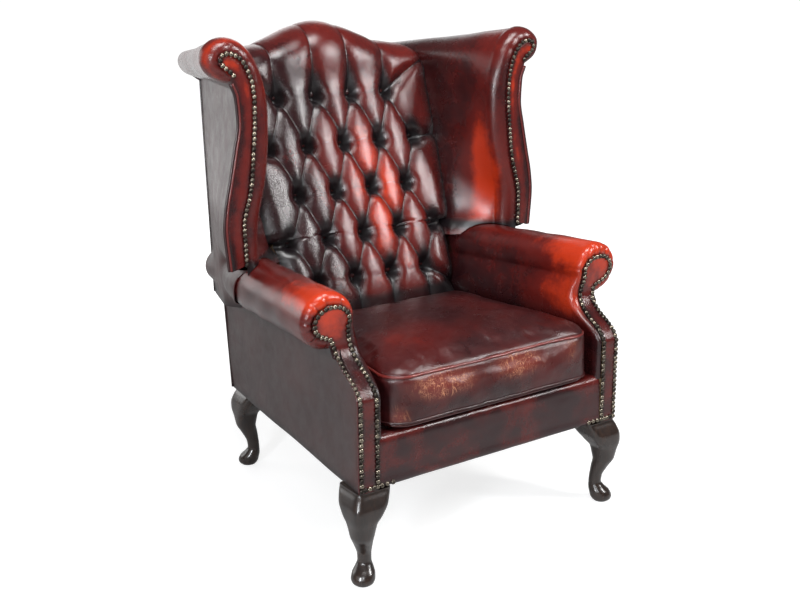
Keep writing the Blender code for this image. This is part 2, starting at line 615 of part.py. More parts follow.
    # Room for the frame inside the arm, and for the wing that stands against it.
    room = [grown(post, GAP, "room_post_" + tag), grown(rail, GAP, "room_rail_" + tag), grown(stump, GAP, "room_stump_" + tag)]
    clear = []
    for y in (WING_Y + 0.0040, 0.10, 0.20, 0.2600):
        clear.append(flip(side, [(wing_outer(y, z) - SKIN - WING_PLY - 0.0030, y, z) for z in (0.4300, 0.47, 0.50, 0.55, 0.5860, 0.60, 0.64)]
                          + flip(1, [(0.60, y, 0.64), (0.60, y, 0.43)])))
    wing_room = loft("room_wing_" + tag, clear, PLY, smooth=False)
    cut(cover, [face_cut, wing_room])
    cut(padding, [face_cut_padding, wing_room] + room)

# ---------------------------------------------------------------- back frame
posts_x = (0.1900, 0.2150)
for side, tag in ((-1, "left"), (1, "right")):
    a, b = sorted((side * posts_x[0], side * posts_x[1]))
    raked_beam("back_post_" + tag, a, b, 0.0090, 0.0370, 0.4520, 0.9045, pad_back)
raked_beam("stay_rail", -posts_x[0] + GAP, posts_x[0] - GAP, 0.0090, 0.0350, 0.4520, 0.4920, pad_back)
tack_half = wing_outer(0.350, 0.46) - SKIN - WING_PLY - 0.0040
raked_beam("tacking_rail", -tack_half, tack_half, -0.0290, -0.0040, 0.4520, 0.4840, back_y)

CREST_STEPS = 16
loops = []
for k in range(CREST_STEPS + 1):
    x = -0.2400 + 0.4800 * k / CREST_STEPS
    top = crest_top(x) - 0.0340
    loops.append([(x, pad_back(0.905) + 0.0090, 0.9050), (x, pad_back(0.905) + 0.0340, 0.9050),
                  (x, pad_back(top) + 0.0340, top), (x, pad_back(top) + 0.0090, top)])
loft("crest_rail", loops, BEECH, smooth=False)
raked_beam("back_hessian", -0.2050, 0.2050, 0.0065, 0.0085, 0.4400, 0.9600, pad_back, HESSIAN)

# ---------------------------------------------------------------- buttoned back
PAD_STEPS = 14


def pad_section(s):
    """Side view of the back pad at the fraction s of its half width."""
    top = crest_top(s * 0.262)
    rows = []
    low = 0.3380
    levels = [low, 0.40, 0.4660, 0.52, 0.588, 0.63, 0.68, 0.72, 0.76, 0.80, 0.84, 0.88, 0.905, 0.934]
    for z in levels:
        rows.append((pad_front(z), z))
    y0, z0, rise = pad_front(0.934), 0.9340, top - 0.9340
    y1 = back_y(top) - 0.0055
    for k in range(1, 9):
        a = math.pi * (1 - k / 9)
        z = z0 + rise * min(math.sin(a) ** 0.7, 1.0)
        y = 0.5 * (y0 + y1) + 0.5 * (y1 - y0) * math.cos(a)
        if k > 4:
            z = max(z, top - 0.0420)
        rows.append((y, z))
    rows.append((back_y(top - 0.05) - 0.0055, top - 0.0500))
    rows.append((pad_back(top - 0.05) + 0.0350, top - 0.0500))
    rows.append((pad_back(top - 0.03) + 0.0355, top - 0.0290))
    rows.append((pad_back(top - 0.029), top - 0.0290))
    for z in reversed(levels):
        rows.append((pad_back(z), z))
    return rows


loops = []
for k in range(PAD_STEPS + 1):
    s = -1 + 2 * k / PAD_STEPS
    loops.append([(s * back_half(y, z), y, z) for y, z in pad_section(s)])
back_pad = loft("back_pad", loops, OXBLOOD, rungs=14)

# Outside back, over the posts and the scroll ends.
loops = []
for k in range(13):
    s = -1 + 2 * k / 12
    rows = []
    for z in (0.4370, 0.55, 0.75, None):
        top = min(crest_top(s * 0.262) - 0.0150, 1.045)
        zz = top if z is None else z
        rows.append((s * (back_corner_x(zz) - 0.0002), zz))
    loops.append([(x, back_y(z), z) for x, z in rows] + [(x, back_y(z) - SKIN + GAP, z) for x, z in reversed(rows)])
loft("outside_back", loops, OXBLOOD)

# Buttons: each row is laced on one twine behind the pad.
pit_cutters = []
for row, (z, count) in enumerate(BUTTON_ROWS):
    xs = [(i - (count - 1) / 2) * BUTTON_PITCH for i in range(count)]
    lace_y = pad_back(z) + 0.0035
    bar = loft(f"button_row_{row + 1}",
               [[(x, lace_y + 0.0014 * math.cos(a), z + 0.0014 * math.sin(a)) for a in [math.pi * (2 * i + 1) / 6 for i in range(6)]]
                for x in (xs[0] - 0.006, xs[-1] + 0.006)], OXBLOOD)
    for i, x in enumerate(xs):
        y = pit_y(z)
        depth = lace_y - y
        button = turned(f"button_{row}_{i}",
                        [(0, -0.0060), (0.0060, -0.0048), (BUTTON_R, -0.0010), (BUTTON_R, 0.0012), (0.0035, 0.0030), (0.0010, 0.0036),
                         (0.0010, depth), (0, depth)], (x, y, z), OXBLOOD, sides=8, axis="Y")
        button.hide_render = True
        button.display_type = "WIRE"
        joint = bar.modifiers.new(f"button_{i}", "BOOLEAN")
        joint.operation = "UNION"
        joint.solver = "EXACT"
        joint.object = button
        pit = turned(f"pit_{row}_{i}",
                     [(0, -0.0600), (0.0420, -0.0600), (0.0160, -0.0060), (BUTTON_R + 0.0006, 0.0016), (0.0040, 0.0040), (0.0016, 0.0044),
                      (0.0016, depth + 0.0200), (0, depth + 0.0200)], (x, y, z), OXBLOOD, sides=8, axis="Y")
        pit_cutters.append(pit)
cut(back_pad, pit_cutters)


# ---------------------------------------------------------------- seat cushion
def cushion_ring(inset, z, grow=0.0):
    """Rounded plan of the cushion: wider at the front, with larger front corners."""
    y0, y1 = -0.3840 + inset - grow, 0.0440 - inset + grow
    x0, x1 = 0.2740 - inset + grow, 0.2270 - inset + grow
    pts = []
    for cx, cy, r, start in ((x0, y0, 0.050, -90), (x1, y1, 0.020, 0), (-x1, y1, 0.020, 90), (-x0, y0, 0.050, 180)):
        r = max(r - inset, 0.004)
        sx = 1 if cx > 0 else -1
        sy = 1 if cy > -0.1 else -1
        for k in range(5):
            a = math.radians(start + 90 * k / 4)
            pts.append((cx - sx * r + r * math.cos(a), cy - sy * r + r * math.sin(a), z))
    return pts


CUSHION = ((0.0100, 0.3125), (0.0025, 0.3165), (0.0000, 0.3300), (0.0000, 0.4080), (0.0025, 0.4190), (0.0200, 0.4300), (0.0700, 0.4440), (0.1500, 0.4540))
cushion_cover = loft("cushion_cover", [cushion_ring(i, z) for i, z in CUSHION], SEAT_HIDE)
loft("cushion_foam", [cushion_ring(i + 0.0040, z + (0.0040 if z < 0.35 else -0.0055)) for i, z in CUSHION], FOAM)
cavity = loft("cushion_cavity", [cushion_ring(i + 0.0022, z + (0.0022 if z < 0.35 else -0.0022)) for i, z in CUSHION], FOAM)
zip_slot = loft("cushion_zip_slot", [plate_xy(-0.19, 0.19, 0.0300, 0.0600, z) for z in (0.3580, 0.3660)], FOAM, smooth=False)
cut(cushion_cover, [cavity, zip_slot])
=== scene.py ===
"""Looks of the buttoned leather wing chair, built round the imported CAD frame. Metres, +Z up, front faces -Y."""
import math

import bmesh
import bpy
import numpy as np
from mathutils import Matrix, Vector
from mathutils.bvhtree import BVHTree


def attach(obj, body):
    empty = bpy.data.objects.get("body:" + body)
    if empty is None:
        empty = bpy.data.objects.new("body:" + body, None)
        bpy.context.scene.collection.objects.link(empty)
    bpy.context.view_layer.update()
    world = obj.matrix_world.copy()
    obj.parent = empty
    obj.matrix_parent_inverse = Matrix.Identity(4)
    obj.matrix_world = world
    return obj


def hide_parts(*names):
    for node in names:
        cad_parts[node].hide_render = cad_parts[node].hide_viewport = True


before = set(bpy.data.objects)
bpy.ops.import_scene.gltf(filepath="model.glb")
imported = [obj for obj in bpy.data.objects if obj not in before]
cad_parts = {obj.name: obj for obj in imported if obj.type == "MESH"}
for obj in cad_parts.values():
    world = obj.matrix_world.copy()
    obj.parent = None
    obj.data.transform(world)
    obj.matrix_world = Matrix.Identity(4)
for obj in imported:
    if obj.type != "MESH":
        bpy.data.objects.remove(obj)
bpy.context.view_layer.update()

PI = math.pi

# ================================================================ camera
Y_MID = 0.0171
camera = bpy.data.objects.new("camera", bpy.data.cameras.new("camera"))
bpy.context.scene.collection.objects.link(camera)
camera.data.sensor_width = 36.0
camera.data.lens = 50.59
camera.data.clip_start, camera.data.clip_end = 0.05, 60.0
camera.location = (-1.40345, -2.05081 - Y_MID, 1.14656)
yaw, pitch, roll = math.radians(-34.754), math.radians(-15.695), math.radians(-0.45)
forward = Vector((-math.sin(yaw) * math.cos(pitch), math.cos(yaw) * math.cos(pitch), math.sin(pitch)))
turn = forward.to_track_quat("-Z", "Y").to_matrix().to_4x4()
spin = Matrix.Rotation(roll, 4, "Z")
camera.matrix_world = Matrix.Translation(camera.location) @ turn @ spin
bpy.context.scene.camera = camera

# ================================================================ sizes shared with the CAD
GAP, SKIN = 0.0003, 0.0030
BASE_Z, FRONT_Y = 0.2000, -0.3770
SIDE_FRONT_X, SIDE_TAPER = 0.3410, 0.1126
BACK_Y0, BACK_RAKE = 0.3180, 0.130
ARM_THICK, ROLL_R, ROLL_U, ROLL_Z, ROLL_FALL = 0.0560, 0.0600, 0.0200, 0.5320, 0.030
POST_W = (0.2945, 0.3408)
CREST_Z, CREST_SHOULDER, CREST_SPREAD = 1.0660, 1.0040, 0.1300
BUTTON_PITCH = 0.0990
BUTTON_ROWS = ((0.900, 4), (0.792, 5), (0.688, 4), (0.590, 5), (0.497, 4))
PAD_PROUD = 0.0300
WING_NAIL = ((0.43, 0.357), (0.52, 0.362), (0.60, 0.366), (0.66, 0.366), (0.73, 0.350),
             (0.80, 0.339), (0.88, 0.333), (0.94, 0.338), (0.98, 0.350))
WING_SEAM = ((0.43, 0.385), (0.52, 0.397), (0.60, 0.405), (0.66, 0.409), (0.70, 0.405),
             (0.76, 0.392), (0.82, 0.379), (0.88, 0.368), (0.93, 0.371), (0.97, 0.384))
WING_TOP, WING_Y = 0.9300, 0.0030
BACK_HALF = ((0.33, 0.222), (0.44, 0.226), (0.50, 0.238), (0.57, 0.254), (0.66, 0.264),
             (0.80, 0.277), (0.92, 0.283), (1.00, 0.285))
ARM_FACE = ((0.200, -0.377), (0.385, -0.377), (0.400, -0.371), (0.420, -0.351), (0.440, -0.320),
            (0.455, -0.298), (0.466, -0.290), (0.490, -0.2920), (0.530, -0.3000), (0.600, -0.3050))
LEG = ((0.1997, -0.0515, 0.0385, 10.0), (0.1860, -0.0440, 0.0392, 8.0), (0.1720, -0.0360, 0.0395, 6.0),
       (0.1500, -0.0245, 0.0340, 4.5), (0.1330, -0.0185, 0.0275, 3.2), (0.1060, -0.0185, 0.0235, 2.3),
       (0.0830, -0.0268, 0.0187, 2.0), (0.0600, -0.0340, 0.0145, 2.0), (0.0450, -0.0353, 0.0142, 2.0),
       (0.0340, -0.0315, 0.0182, 2.0), (0.0220, -0.0245, 0.0235, 2.0), (0.0120, -0.0210, 0.0245, 2.0),
       (0.0040, -0.0200, 0.0215, 2.0), (0.0000, -0.0205, 0.0170, 2.0))
LEG_CORNERS = {"front_left": (-0.341, -0.377), "front_right": (0.341, -0.377),
               "back_left": (-0.253, 0.311), "back_right": (0.253, 0.311)}
NAIL_PITCH, NAIL_R = 0.0105, 0.0053


def along(table, t):
    """Smooth curve through a small table, flat past its ends. t may be an array."""
    t = np.asarray(t, float)
    ts = np.array([row[0] for row in table])
    vs = np.array([row[1] for row in table])
    d = np.diff(vs) / np.diff(ts)
    m = np.zeros(len(ts))
    for k in range(1, len(ts) - 1):
        a, b = d[k - 1], d[k]
        m[k] = 0.0 if a * b <= 0 else 2 * a * b / (a + b)
    tc = np.clip(t, ts[0], ts[-1])
    i = np.clip(np.searchsorted(ts, tc, side="right") - 1, 0, len(ts) - 2)
    h = ts[i + 1] - ts[i]
    u = (tc - ts[i]) / h
    return ((2 * u**3 - 3 * u**2 + 1) * vs[i] + (u**3 - 2 * u**2 + u) * m[i] * h
            + (-2 * u**3 + 3 * u**2) * vs[i + 1] + (u**3 - u**2) * m[i + 1] * h)


def side_x(y):
    return SIDE_FRONT_X - SIDE_TAPER * (y - FRONT_Y)


def back_y(z):
    return BACK_Y0 + BACK_RAKE * (z - 0.20)


def roll_line(y):
    return 0.463 - 0.044 * (y + 0.29)


def roll_dz(y):
    return -ROLL_FALL * (y + 0.30)


def roll_shape(y):
    """Radius, reach and drop of the arm roll: it thins out where the wing's outside panel is drawn over it."""
    k = float(smooth01((y - 0.05) / 0.25))
    return ROLL_R - 0.0230 * k, ROLL_U * (1 - 0.9 * k), -0.012 * k


def pit_y(z):
    return 0.2600 + 0.410 * (z - 0.9000)


def pad_front(z):
    return np.maximum(pit_y(z) - PAD_PROUD, 0.0470)


def crest_top(x):
    return CREST_SHOULDER + (CREST_Z - CREST_SHOULDER) * np.exp(-((x / CREST_SPREAD) ** 2))


def back_corner_x(z):
    return 0.277 - 0.0436 * (z - 0.55)


def wing_outer(y, z):
    x0, y0 = along(WING_SEAM, z) + SKIN, WING_Y
    x1, y1 = back_corner_x(z), back_y(z) - 0.0033
    return x0 + (x1 - x0) * (y - y0) / (y1 - y0)


def back_half(y, z):
    wide = along(BACK_HALF, z) - 0.28 * (y - pad_front(z))
    low = side_x(y) - ARM_THICK - 0.0015 + 0.05 * np.maximum(0.0, z - 0.5)
    return np.where(z < 0.60, np.minimum(wide, low), wide)


def smooth01(t):
    t = np.clip(t, 0, 1)
    return t * t * (3 - 2 * t)


def noise2(a, b, seed, octaves=3):
    """Smooth seeded noise in -1..1 over two arrays, made of rotated sines."""
    rng = np.random.default_rng(seed)
    total = np.zeros(np.broadcast(a, b).shape)
    weight = 0.0
    for o in range(octaves):
        f, w = 2.0**o, 0.55**o
        for _ in range(4):
            ang, ph = rng.uniform(0, 2 * PI), rng.uniform(0, 2 * PI)
            k = f * rng.uniform(0.7, 1.4)
            total = total + w * np.sin(k * (a * math.cos(ang) + b * math.sin(ang)) + ph + 1.3 * np.sin(0.6 * k * (b * math.cos(ang) - a * math.sin(ang)) + 2 * ph))
        weight += 4 * w
    return total / weight * 1.8


def spline(points, n):
    """n points evenly spaced along a smooth curve through the given points."""
    pts = np.asarray(points, float)
    seg = np.linalg.norm(np.diff(pts, axis=0), axis=1)
    t = np.concatenate([[0], np.cumsum(seg)])
    fine_t = np.linspace(0, t[-1], max(8 * n, 400))
    tang = np.gradient(pts, t, axis=0)
    i = np.clip(np.searchsorted(t, fine_t, side="right") - 1, 0, len(t) - 2)
    h = (t[i + 1] - t[i])[:, None]
    u = ((fine_t - t[i]) / h[:, 0])[:, None]
    fine = ((2 * u**3 - 3 * u**2 + 1) * pts[i] + (u**3 - 2 * u**2 + u) * h * tang[i]
            + (-2 * u**3 + 3 * u**2) * pts[i + 1] + (u**3 - u**2) * h * tang[i + 1])
    length = np.concatenate([[0], np.cumsum(np.linalg.norm(np.diff(fine, axis=0), axis=1))])
    want = np.linspace(0, length[-1], n)
    return np.stack([np.interp(want, length, fine[:, k]) for k in range(fine.shape[1])], axis=1)


def length_of(points):
    return float(np.linalg.norm(np.diff(np.asarray(points), axis=0), axis=1).sum())


# ================================================================ mesh tools
def make(name, verts, faces, mat, tone=None, uv=None, smooth=True, weld=None):
    mesh = bpy.data.meshes.new(name)
    verts = np.array(verts, float)
    verts[:, 1] -= Y_MID
    mesh.from_pydata(verts.tolist(), [], [tuple(int(i) for i in f) for f in faces])
    if tone is not None:
        attr = mesh.attributes.new("tone", "FLOAT_COLOR", "POINT")
        data = np.ones((len(verts), 4))
        data[:, :3] = np.clip(tone, 0, 1)
        attr.data.foreach_set("color", data.ravel())
    if weld:
        bm = bmesh.new()
        bm.from_mesh(mesh)
        bmesh.ops.remove_doubles(bm, verts=bm.verts, dist=weld)
        bm.to_mesh(mesh)
        bm.free()
    mesh.validate()
    mesh.materials.append(mat)
    if smooth:
        mesh.shade_smooth()
    obj = bpy.data.objects.new(name, mesh)
    bpy.context.scene.collection.objects.link(obj)
    return obj


def grid_faces(nu, nv, wrap_u=False, flip=False, start=0):
    i = np.arange(nu if wrap_u else nu - 1)[:, None]
    j = np.arange(nv - 1)[None, :]
    a = i * nv + j
    b = ((i + 1) % nu) * nv + j
    quads = np.stack([a, b, b + 1, a + 1], axis=-1).reshape(-1, 4) + start
    return quads[:, ::-1] if flip else quads


def grid(name, P, mat, tone=None, wrap_u=False, flip=False, smooth=True):
    nu, nv = P.shape[:2]
    t = None if tone is None else np.asarray(tone).reshape(-1, 3)
    return make(name, P.reshape(-1, 3), grid_faces(nu, nv, wrap_u, flip), mat, t, smooth=smooth)


def mirrored(P, side):
    Q = np.array(P, float)
    Q[..., 0] *= side
    return Q


def joined(name, parts, mat, smooth=True):
    """One object from many (verts, faces, tone) pieces."""
    verts, faces, tones, n = [], [], [], 0
    for v, f, t in parts:
        verts.append(np.asarray(v, float).reshape(-1, 3))
        faces += [tuple(int(k) + n for k in face) for face in f]
        tones.append(np.zeros((len(verts[-1]), 3)) + (0 if t is None else np.asarray(t).reshape(-1, 3)))
        n += len(verts[-1])
    return make(name, np.concatenate(verts), faces, mat, np.concatenate(tones), smooth=smooth)


def tube(points, radius, sides=8, closed=False):
    """Verts and faces of a round tube along a path."""
    pts = np.asarray(points, float)
    n = len(pts)
    if closed:
        tang = np.roll(pts, -1, 0) - np.roll(pts, 1, 0)
    else:
        tang = np.gradient(pts, axis=0)
    tang /= np.linalg.norm(tang, axis=1, keepdims=True) + 1e-12
    ref = np.array([0.0, 0.0, 1.0]) if abs(tang[0, 2]) < 0.8 else np.array([1.0, 0.0, 0.0])
    rings, normal = [], ref
    for k in range(n):
        normal = normal - tang[k] * np.dot(normal, tang[k])
        normal /= np.linalg.norm(normal) + 1e-12
        other = np.cross(tang[k], normal)
        a = np.linspace(0, 2 * PI, sides, endpoint=False)
        rings.append(pts[k] + radius * (np.cos(a)[:, None] * normal + np.sin(a)[:, None] * other))
    V = np.array(rings)
    faces = []
    for k in range(n if closed else n - 1):
        for i in range(sides):
            j = (i + 1) % sides
            l = (k + 1) % n
            faces.append((k * sides + i, l * sides + i, l * sides + j, k * sides + j))
    if not closed:
        faces.append(tuple(range(sides)))
        faces.append(tuple(reversed(range((n - 1) * sides, n * sides))))
    return V.reshape(-1, 3), faces


def dome(centre, normal, r=NAIL_R, height=0.0036, sides=10, rings=3):
    """Verts and faces of one domed nailhead, its rim against the leather."""
    n = np.asarray(normal, float)
    n /= np.linalg.norm(n)
    a = np.cross(n, [0, 0, 1.0])
    if np.linalg.norm(a) < 1e-3:
        a = np.cross(n, [1.0, 0, 0])
    a /= np.linalg.norm(a)
    b = np.cross(n, a)
    verts, faces = [], []
    c = np.asarray(centre, float)
    rows = [(1.0, -0.0006)] + [(math.cos(t), height * math.sin(t)) for t in np.linspace(0.12, PI / 2 * 0.80, rings)]
    for rr, h in rows:
        for k in range(sides):
            ang = 2 * PI * k / sides
            verts.append(c + r * rr * (math.cos(ang) * a + math.sin(ang) * b) + n * h)
    for q in range(len(rows) - 1):
        for k in range(sides):
            l = (k + 1) % sides
            faces.append((q * sides + k, q * sides + l, (q + 1) * sides + l, (q + 1) * sides + k))
    verts.append(c + n * height)
    top = len(verts) - 1
    for k in range(sides):
        faces.append(((len(rows) - 1) * sides + k, (len(rows) - 1) * sides + (k + 1) % sides, top))
    return verts, faces


def nail_row(path, normals, rng, pitch=NAIL_PITCH):
    """Nailheads evenly spaced along a path, each a little out of true."""
    path = np.asarray(path, float)
    total = length_of(path)
    count = max(2, int(round(total / pitch)) + 1)
    seg = np.concatenate([[0], np.cumsum(np.linalg.norm(np.diff(path, axis=0), axis=1))])
    want = np.linspace(0, seg[-1], count)
    parts = []
    for w in want:
        p = np.array([np.interp(w, seg, path[:, k]) for k in range(3)])
        n = np.array([np.interp(w, seg, normals[:, k]) for k in range(3)])
        p = p + rng.normal(0, 0.00022, 3)
        n = n / np.linalg.norm(n) + rng.normal(0, 0.07, 3)
        v, f = dome(p, n)
        shade = float(rng.uniform(0, 1))
        parts.append((v, f, np.tile([shade, rng.uniform(0, 1), 0], (len(v), 1))))
    return parts


# ================================================================ materials
class Graph:
    """A short way to write shader nodes."""

    def __init__(self, name):
        self.m = bpy.data.materials.new(name)
        self.m.use_nodes = True
        self.t = self.m.node_tree
        self.s = self.t.nodes["Principled BSDF"]

    def put(self, kind, **inputs):
        n = self.t.nodes.new("ShaderNode" + kind)
        for k, v in inputs.items():
            if k in ("operation", "blend_type", "data_type", "feature", "noise_dimensions", "attribute_name", "interpolation_type", "distance", "bands_direction", "wave_type", "clamp_factor", "voronoi_dimensions"):
                setattr(n, k, v)
        for k, v in inputs.items():
            if k in ("operation", "blend_type", "data_type", "feature", "noise_dimensions", "attribute_name", "interpolation_type", "distance", "bands_direction", "wave_type", "clamp_factor", "voronoi_dimensions"):
                continue
            key = int(k[1:]) if k[0] == "i" and k[1:].isdigit() else k.replace("_", " ")
            self.feed(n.inputs[key], v)
        return n

    def feed(self, socket, value):
        if isinstance(value, bpy.types.NodeSocket):
            self.t.links.new(value, socket)
        elif isinstance(value, bpy.types.Node):
            self.t.links.new(value.outputs[0], socket)
        else:
            socket.default_value = value

    def coords(self):
        return self.put("TexCoord").outputs["Object"]

    def noise(self, co, scale, detail=3.0, rough=0.55, distortion=0.0):
        return self.put("TexNoise", Vector=co, Scale=scale, Detail=detail, Roughness=rough, Distortion=distortion).outputs["Fac"]

    def math(self, op, a, b=0.0, c=None):
        n = self.put("Math", operation=op, i0=a, i1=b)
        if c is not None:
            self.feed(n.inputs[2], c)
        return n.outputs[0]

    def ramp(self, value, low, high, out0=0.0, out1=1.0, smooth=True):
        n = self.put("MapRange", interpolation_type="SMOOTHSTEP" if smooth else "LINEAR", Value=value, From_Min=low, From_Max=high, To_Min=out0, To_Max=out1)
        return n.outputs["Result"]

    def mix(self, fac, a, b, blend="MIX"):
        n = self.put("Mix", data_type="RGBA", blend_type=blend)
        self.feed(n.inputs["Factor"], fac)
        for sock, v in ((n.inputs[6], a), (n.inputs[7], b)):
            self.feed(sock, (*v, 1.0) if isinstance(v, tuple) and len(v) == 3 else v)
        return n.outputs[2]

    def bump(self, height, strength, distance, normal=None):
        n = self.put("Bump", Height=height, Strength=strength, Distance=distance)
        if normal is not None:
            self.feed(n.inputs["Normal"], normal)
        return n.outputs["Normal"]

    def set(self, **inputs):
        for k, v in inputs.items():
            self.feed(self.s.inputs[k.replace("_", " ")], v)


def leather(name, black, dark, mid, bright, rough=(0.24, 0.42), grain=0.22, coat=0.35, scratches=False, wrinkle=0.2, mottling=0.45):
    """Antiqued hide: tone.r darkens it towards black, mostly as painted shade, tone.g rubs it bright, tone.b scuffs it.
    """
    g = Graph(name)
    co = g.coords()
    tone = g.put("Attribute", attribute_name="tone")
    parts = g.put("SeparateColor", Color=tone.outputs["Color"])
    deep, worn, scuff = parts.outputs[0], parts.outputs[1], parts.outputs[2]
    cloud = g.noise(co, 7.0, 4.0, 0.6, 0.6)
    blotch = g.noise(co, 26.0, 5.0, 0.62, 0.4)
    fleck = g.noise(co, 130.0, 3.0, 0.6)
    # rubbed areas, broken up by clouds of the antique finish
    rub = g.math("ADD", worn, g.math("MULTIPLY", g.math("SUBTRACT", cloud, 0.5), mottling * 1.5))
    rub = g.math("ADD", rub, g.math("MULTIPLY", g.math("SUBTRACT", blotch, 0.5), mottling * 0.8))
    rub = g.math("ADD", rub, g.math("MULTIPLY", g.math("SUBTRACT", fleck, 0.5), 0.18))
    colour = g.mix(g.ramp(rub, 0.12, 0.55), dark, mid)
    colour = g.mix(g.ramp(rub, 0.55, 0.98), colour, bright)
    # tone.r with the blotches mixes in black: painted shade in hollows, creases and recesses, with some random mottling
    shade = g.math("ADD", deep, g.math("MULTIPLY", g.math("SUBTRACT", blotch, 0.5), 0.22))
    colour = g.mix(g.ramp(shade, 0.10, 0.85), colour, black)
    # pebble grain and fine pores
    cells = g.put("TexVoronoi", feature="DISTANCE_TO_EDGE", Vector=co, Scale=620.0, Randomness=1.0).outputs["Distance"]
    pores = g.noise(co, 1900.0, 2.0, 0.5)
    furrow = g.ramp(cells, 0.0, 0.22)
    height = g.math("ADD", g.math("MULTIPLY", furrow, 0.75), g.math("MULTIPLY", pores, 0.35))
    normal = g.bump(height, grain, 0.00035)
    # creases of use: long thin cracks and soft ripples
    warp = g.put("TexNoise", Vector=co, Scale=14.0, Detail=3.0).outputs["Color"]
    warped = g.put("VectorMath", operation="MULTIPLY_ADD", i0=warp, i1=(0.05, 0.05, 0.05), i2=co).outputs[0]
    cracks = g.put("TexVoronoi", feature="DISTANCE_TO_EDGE", Vector=warped, Scale=95.0, Randomness=1.0).outputs["Distance"]
    crack = g.ramp(cracks, 0.0, 0.06)
    ripple = g.noise(warped, 55.0, 4.0, 0.6)
    normal = g.bump(crack, wrinkle * 0.20, 0.00025, normal)
    normal = g.bump(ripple, wrinkle, 0.0018, normal)
    colour = g.mix(g.math("MULTIPLY", g.ramp(furrow, 0.0, 1.0, 0.35, 0.0), 0.5), colour, black)
    roughness = g.math("ADD", g.ramp(blotch, 0.25, 0.75, rough[0], rough[1]), g.math("MULTIPLY", deep, 0.10))
    if scratches:
        # scratch clusters through the finish down to the tan hide
        lines = None
        for k, (scale, turnby) in enumerate((((430.0, 30.0, 24.0), 0.45), ((520.0, 30.0, 26.0), -0.40), ((360.0, 30.0, 30.0), 0.08))):
            mapping = g.put("Mapping", Vector=warped, Scale=scale, Rotation=(0.0, turnby, 0.0))
            streak = g.ramp(g.noise(mapping.outputs[0], 1.0, 3.0, 0.7), 0.60 + 0.015 * k, 0.72)
            lines = streak if lines is None else g.math("MAXIMUM", lines, streak)
        patch = g.ramp(g.noise(co, 60.0, 3.0, 0.65), 0.36, 0.58)
        bare = g.math("MULTIPLY", g.math("MULTIPLY", lines, patch), g.ramp(scuff, 0.15, 0.6))
        web = g.put("TexVoronoi", feature="DISTANCE_TO_EDGE", Vector=warped, Scale=210.0, Randomness=1.0).outputs["Distance"]
        web_mask = g.math("MULTIPLY", g.ramp(g.noise(co, 48.0, 4.0, 0.7), 0.46, 0.60), g.ramp(scuff, 0.25, 0.75))
        bare = g.math("MAXIMUM", bare, g.math("MULTIPLY", g.ramp(web, 0.045, 0.015), web_mask))
        peel = g.math("MULTIPLY", g.ramp(g.noise(co, 170.0, 4.0, 0.7, 0.8), 0.60, 0.68), g.ramp(scuff, 0.45, 0.95))
        bare = g.math("MAXIMUM", bare, peel)
        colour = g.mix(g.math("MULTIPLY", g.ramp(scuff, 0.0, 1.0), 0.45), colour, (0.24, 0.035, 0.022))
        colour = g.mix(bare, colour, (0.62, 0.29, 0.15))
        roughness = g.math("ADD", roughness, g.math("MULTIPLY", bare, 0.30))
        normal = g.bump(g.math("SUBTRACT", 1.0, bare), 0.5, 0.0005, normal)
    g.set(Base_Color=colour, Roughness=roughness, Normal=normal, Coat_Weight=coat, Coat_Roughness=0.11, Specular_IOR_Level=0.42)
    g.feed(g.s.inputs["Coat Normal"], normal)
    return g.m


BLACK = (0.0052, 0.0032, 0.0040)
hide = leather("antique_oxblood_hide", BLACK, (0.0200, 0.0036, 0.0044), (0.098, 0.0072, 0.0052), (0.470, 0.0320, 0.0070), rough=(0.19, 0.27), wrinkle=0.045, coat=0.24)
hide_outer = leather("outside_panel_hide", BLACK, (0.028, 0.0090, 0.0085), (0.060, 0.0125, 0.0110), (0.150, 0.0200, 0.0140), rough=(0.32, 0.48), grain=0.34, coat=0.25, wrinkle=0.14)
hide_seat = leather("seat_hide", (0.010, 0.0028, 0.0032), (0.021, 0.0034, 0.0042), (0.062, 0.0060, 0.0056), (0.180, 0.0140, 0.0080), rough=(0.24, 0.38), grain=0.26, coat=0.20, scratches=True, wrinkle=0.42)
hide_piping = leather("piping_hide", BLACK, (0.034, 0.006, 0.007), (0.120, 0.0115, 0.0100), (0.330, 0.0400, 0.0260), rough=(0.24, 0.38), grain=0.12, coat=0.3, wrinkle=0.1)


def bronze():
    g = Graph("antique_nailhead_bronze")
    co = g.coords()
    tone = g.put("SeparateColor", Color=g.put("Attribute", attribute_name="tone").outputs["Color"])
    patina = g.math("ADD", g.noise(co, 420.0, 3.0, 0.6), g.math("MULTIPLY", g.math("SUBTRACT", tone.outputs[0], 0.5), 0.45))
    colour = g.mix(g.ramp(patina, 0.30, 0.72), (0.028, 0.023, 0.020), (0.24, 0.205, 0.158))
    g.set(Base_Color=colour, Roughness=g.ramp(patina, 0.2, 0.8, 0.42, 0.20), Metallic=0.92,
          Normal=g.bump(g.noise(co, 1500.0, 2.0), 0.15, 0.0002))
    return g.m


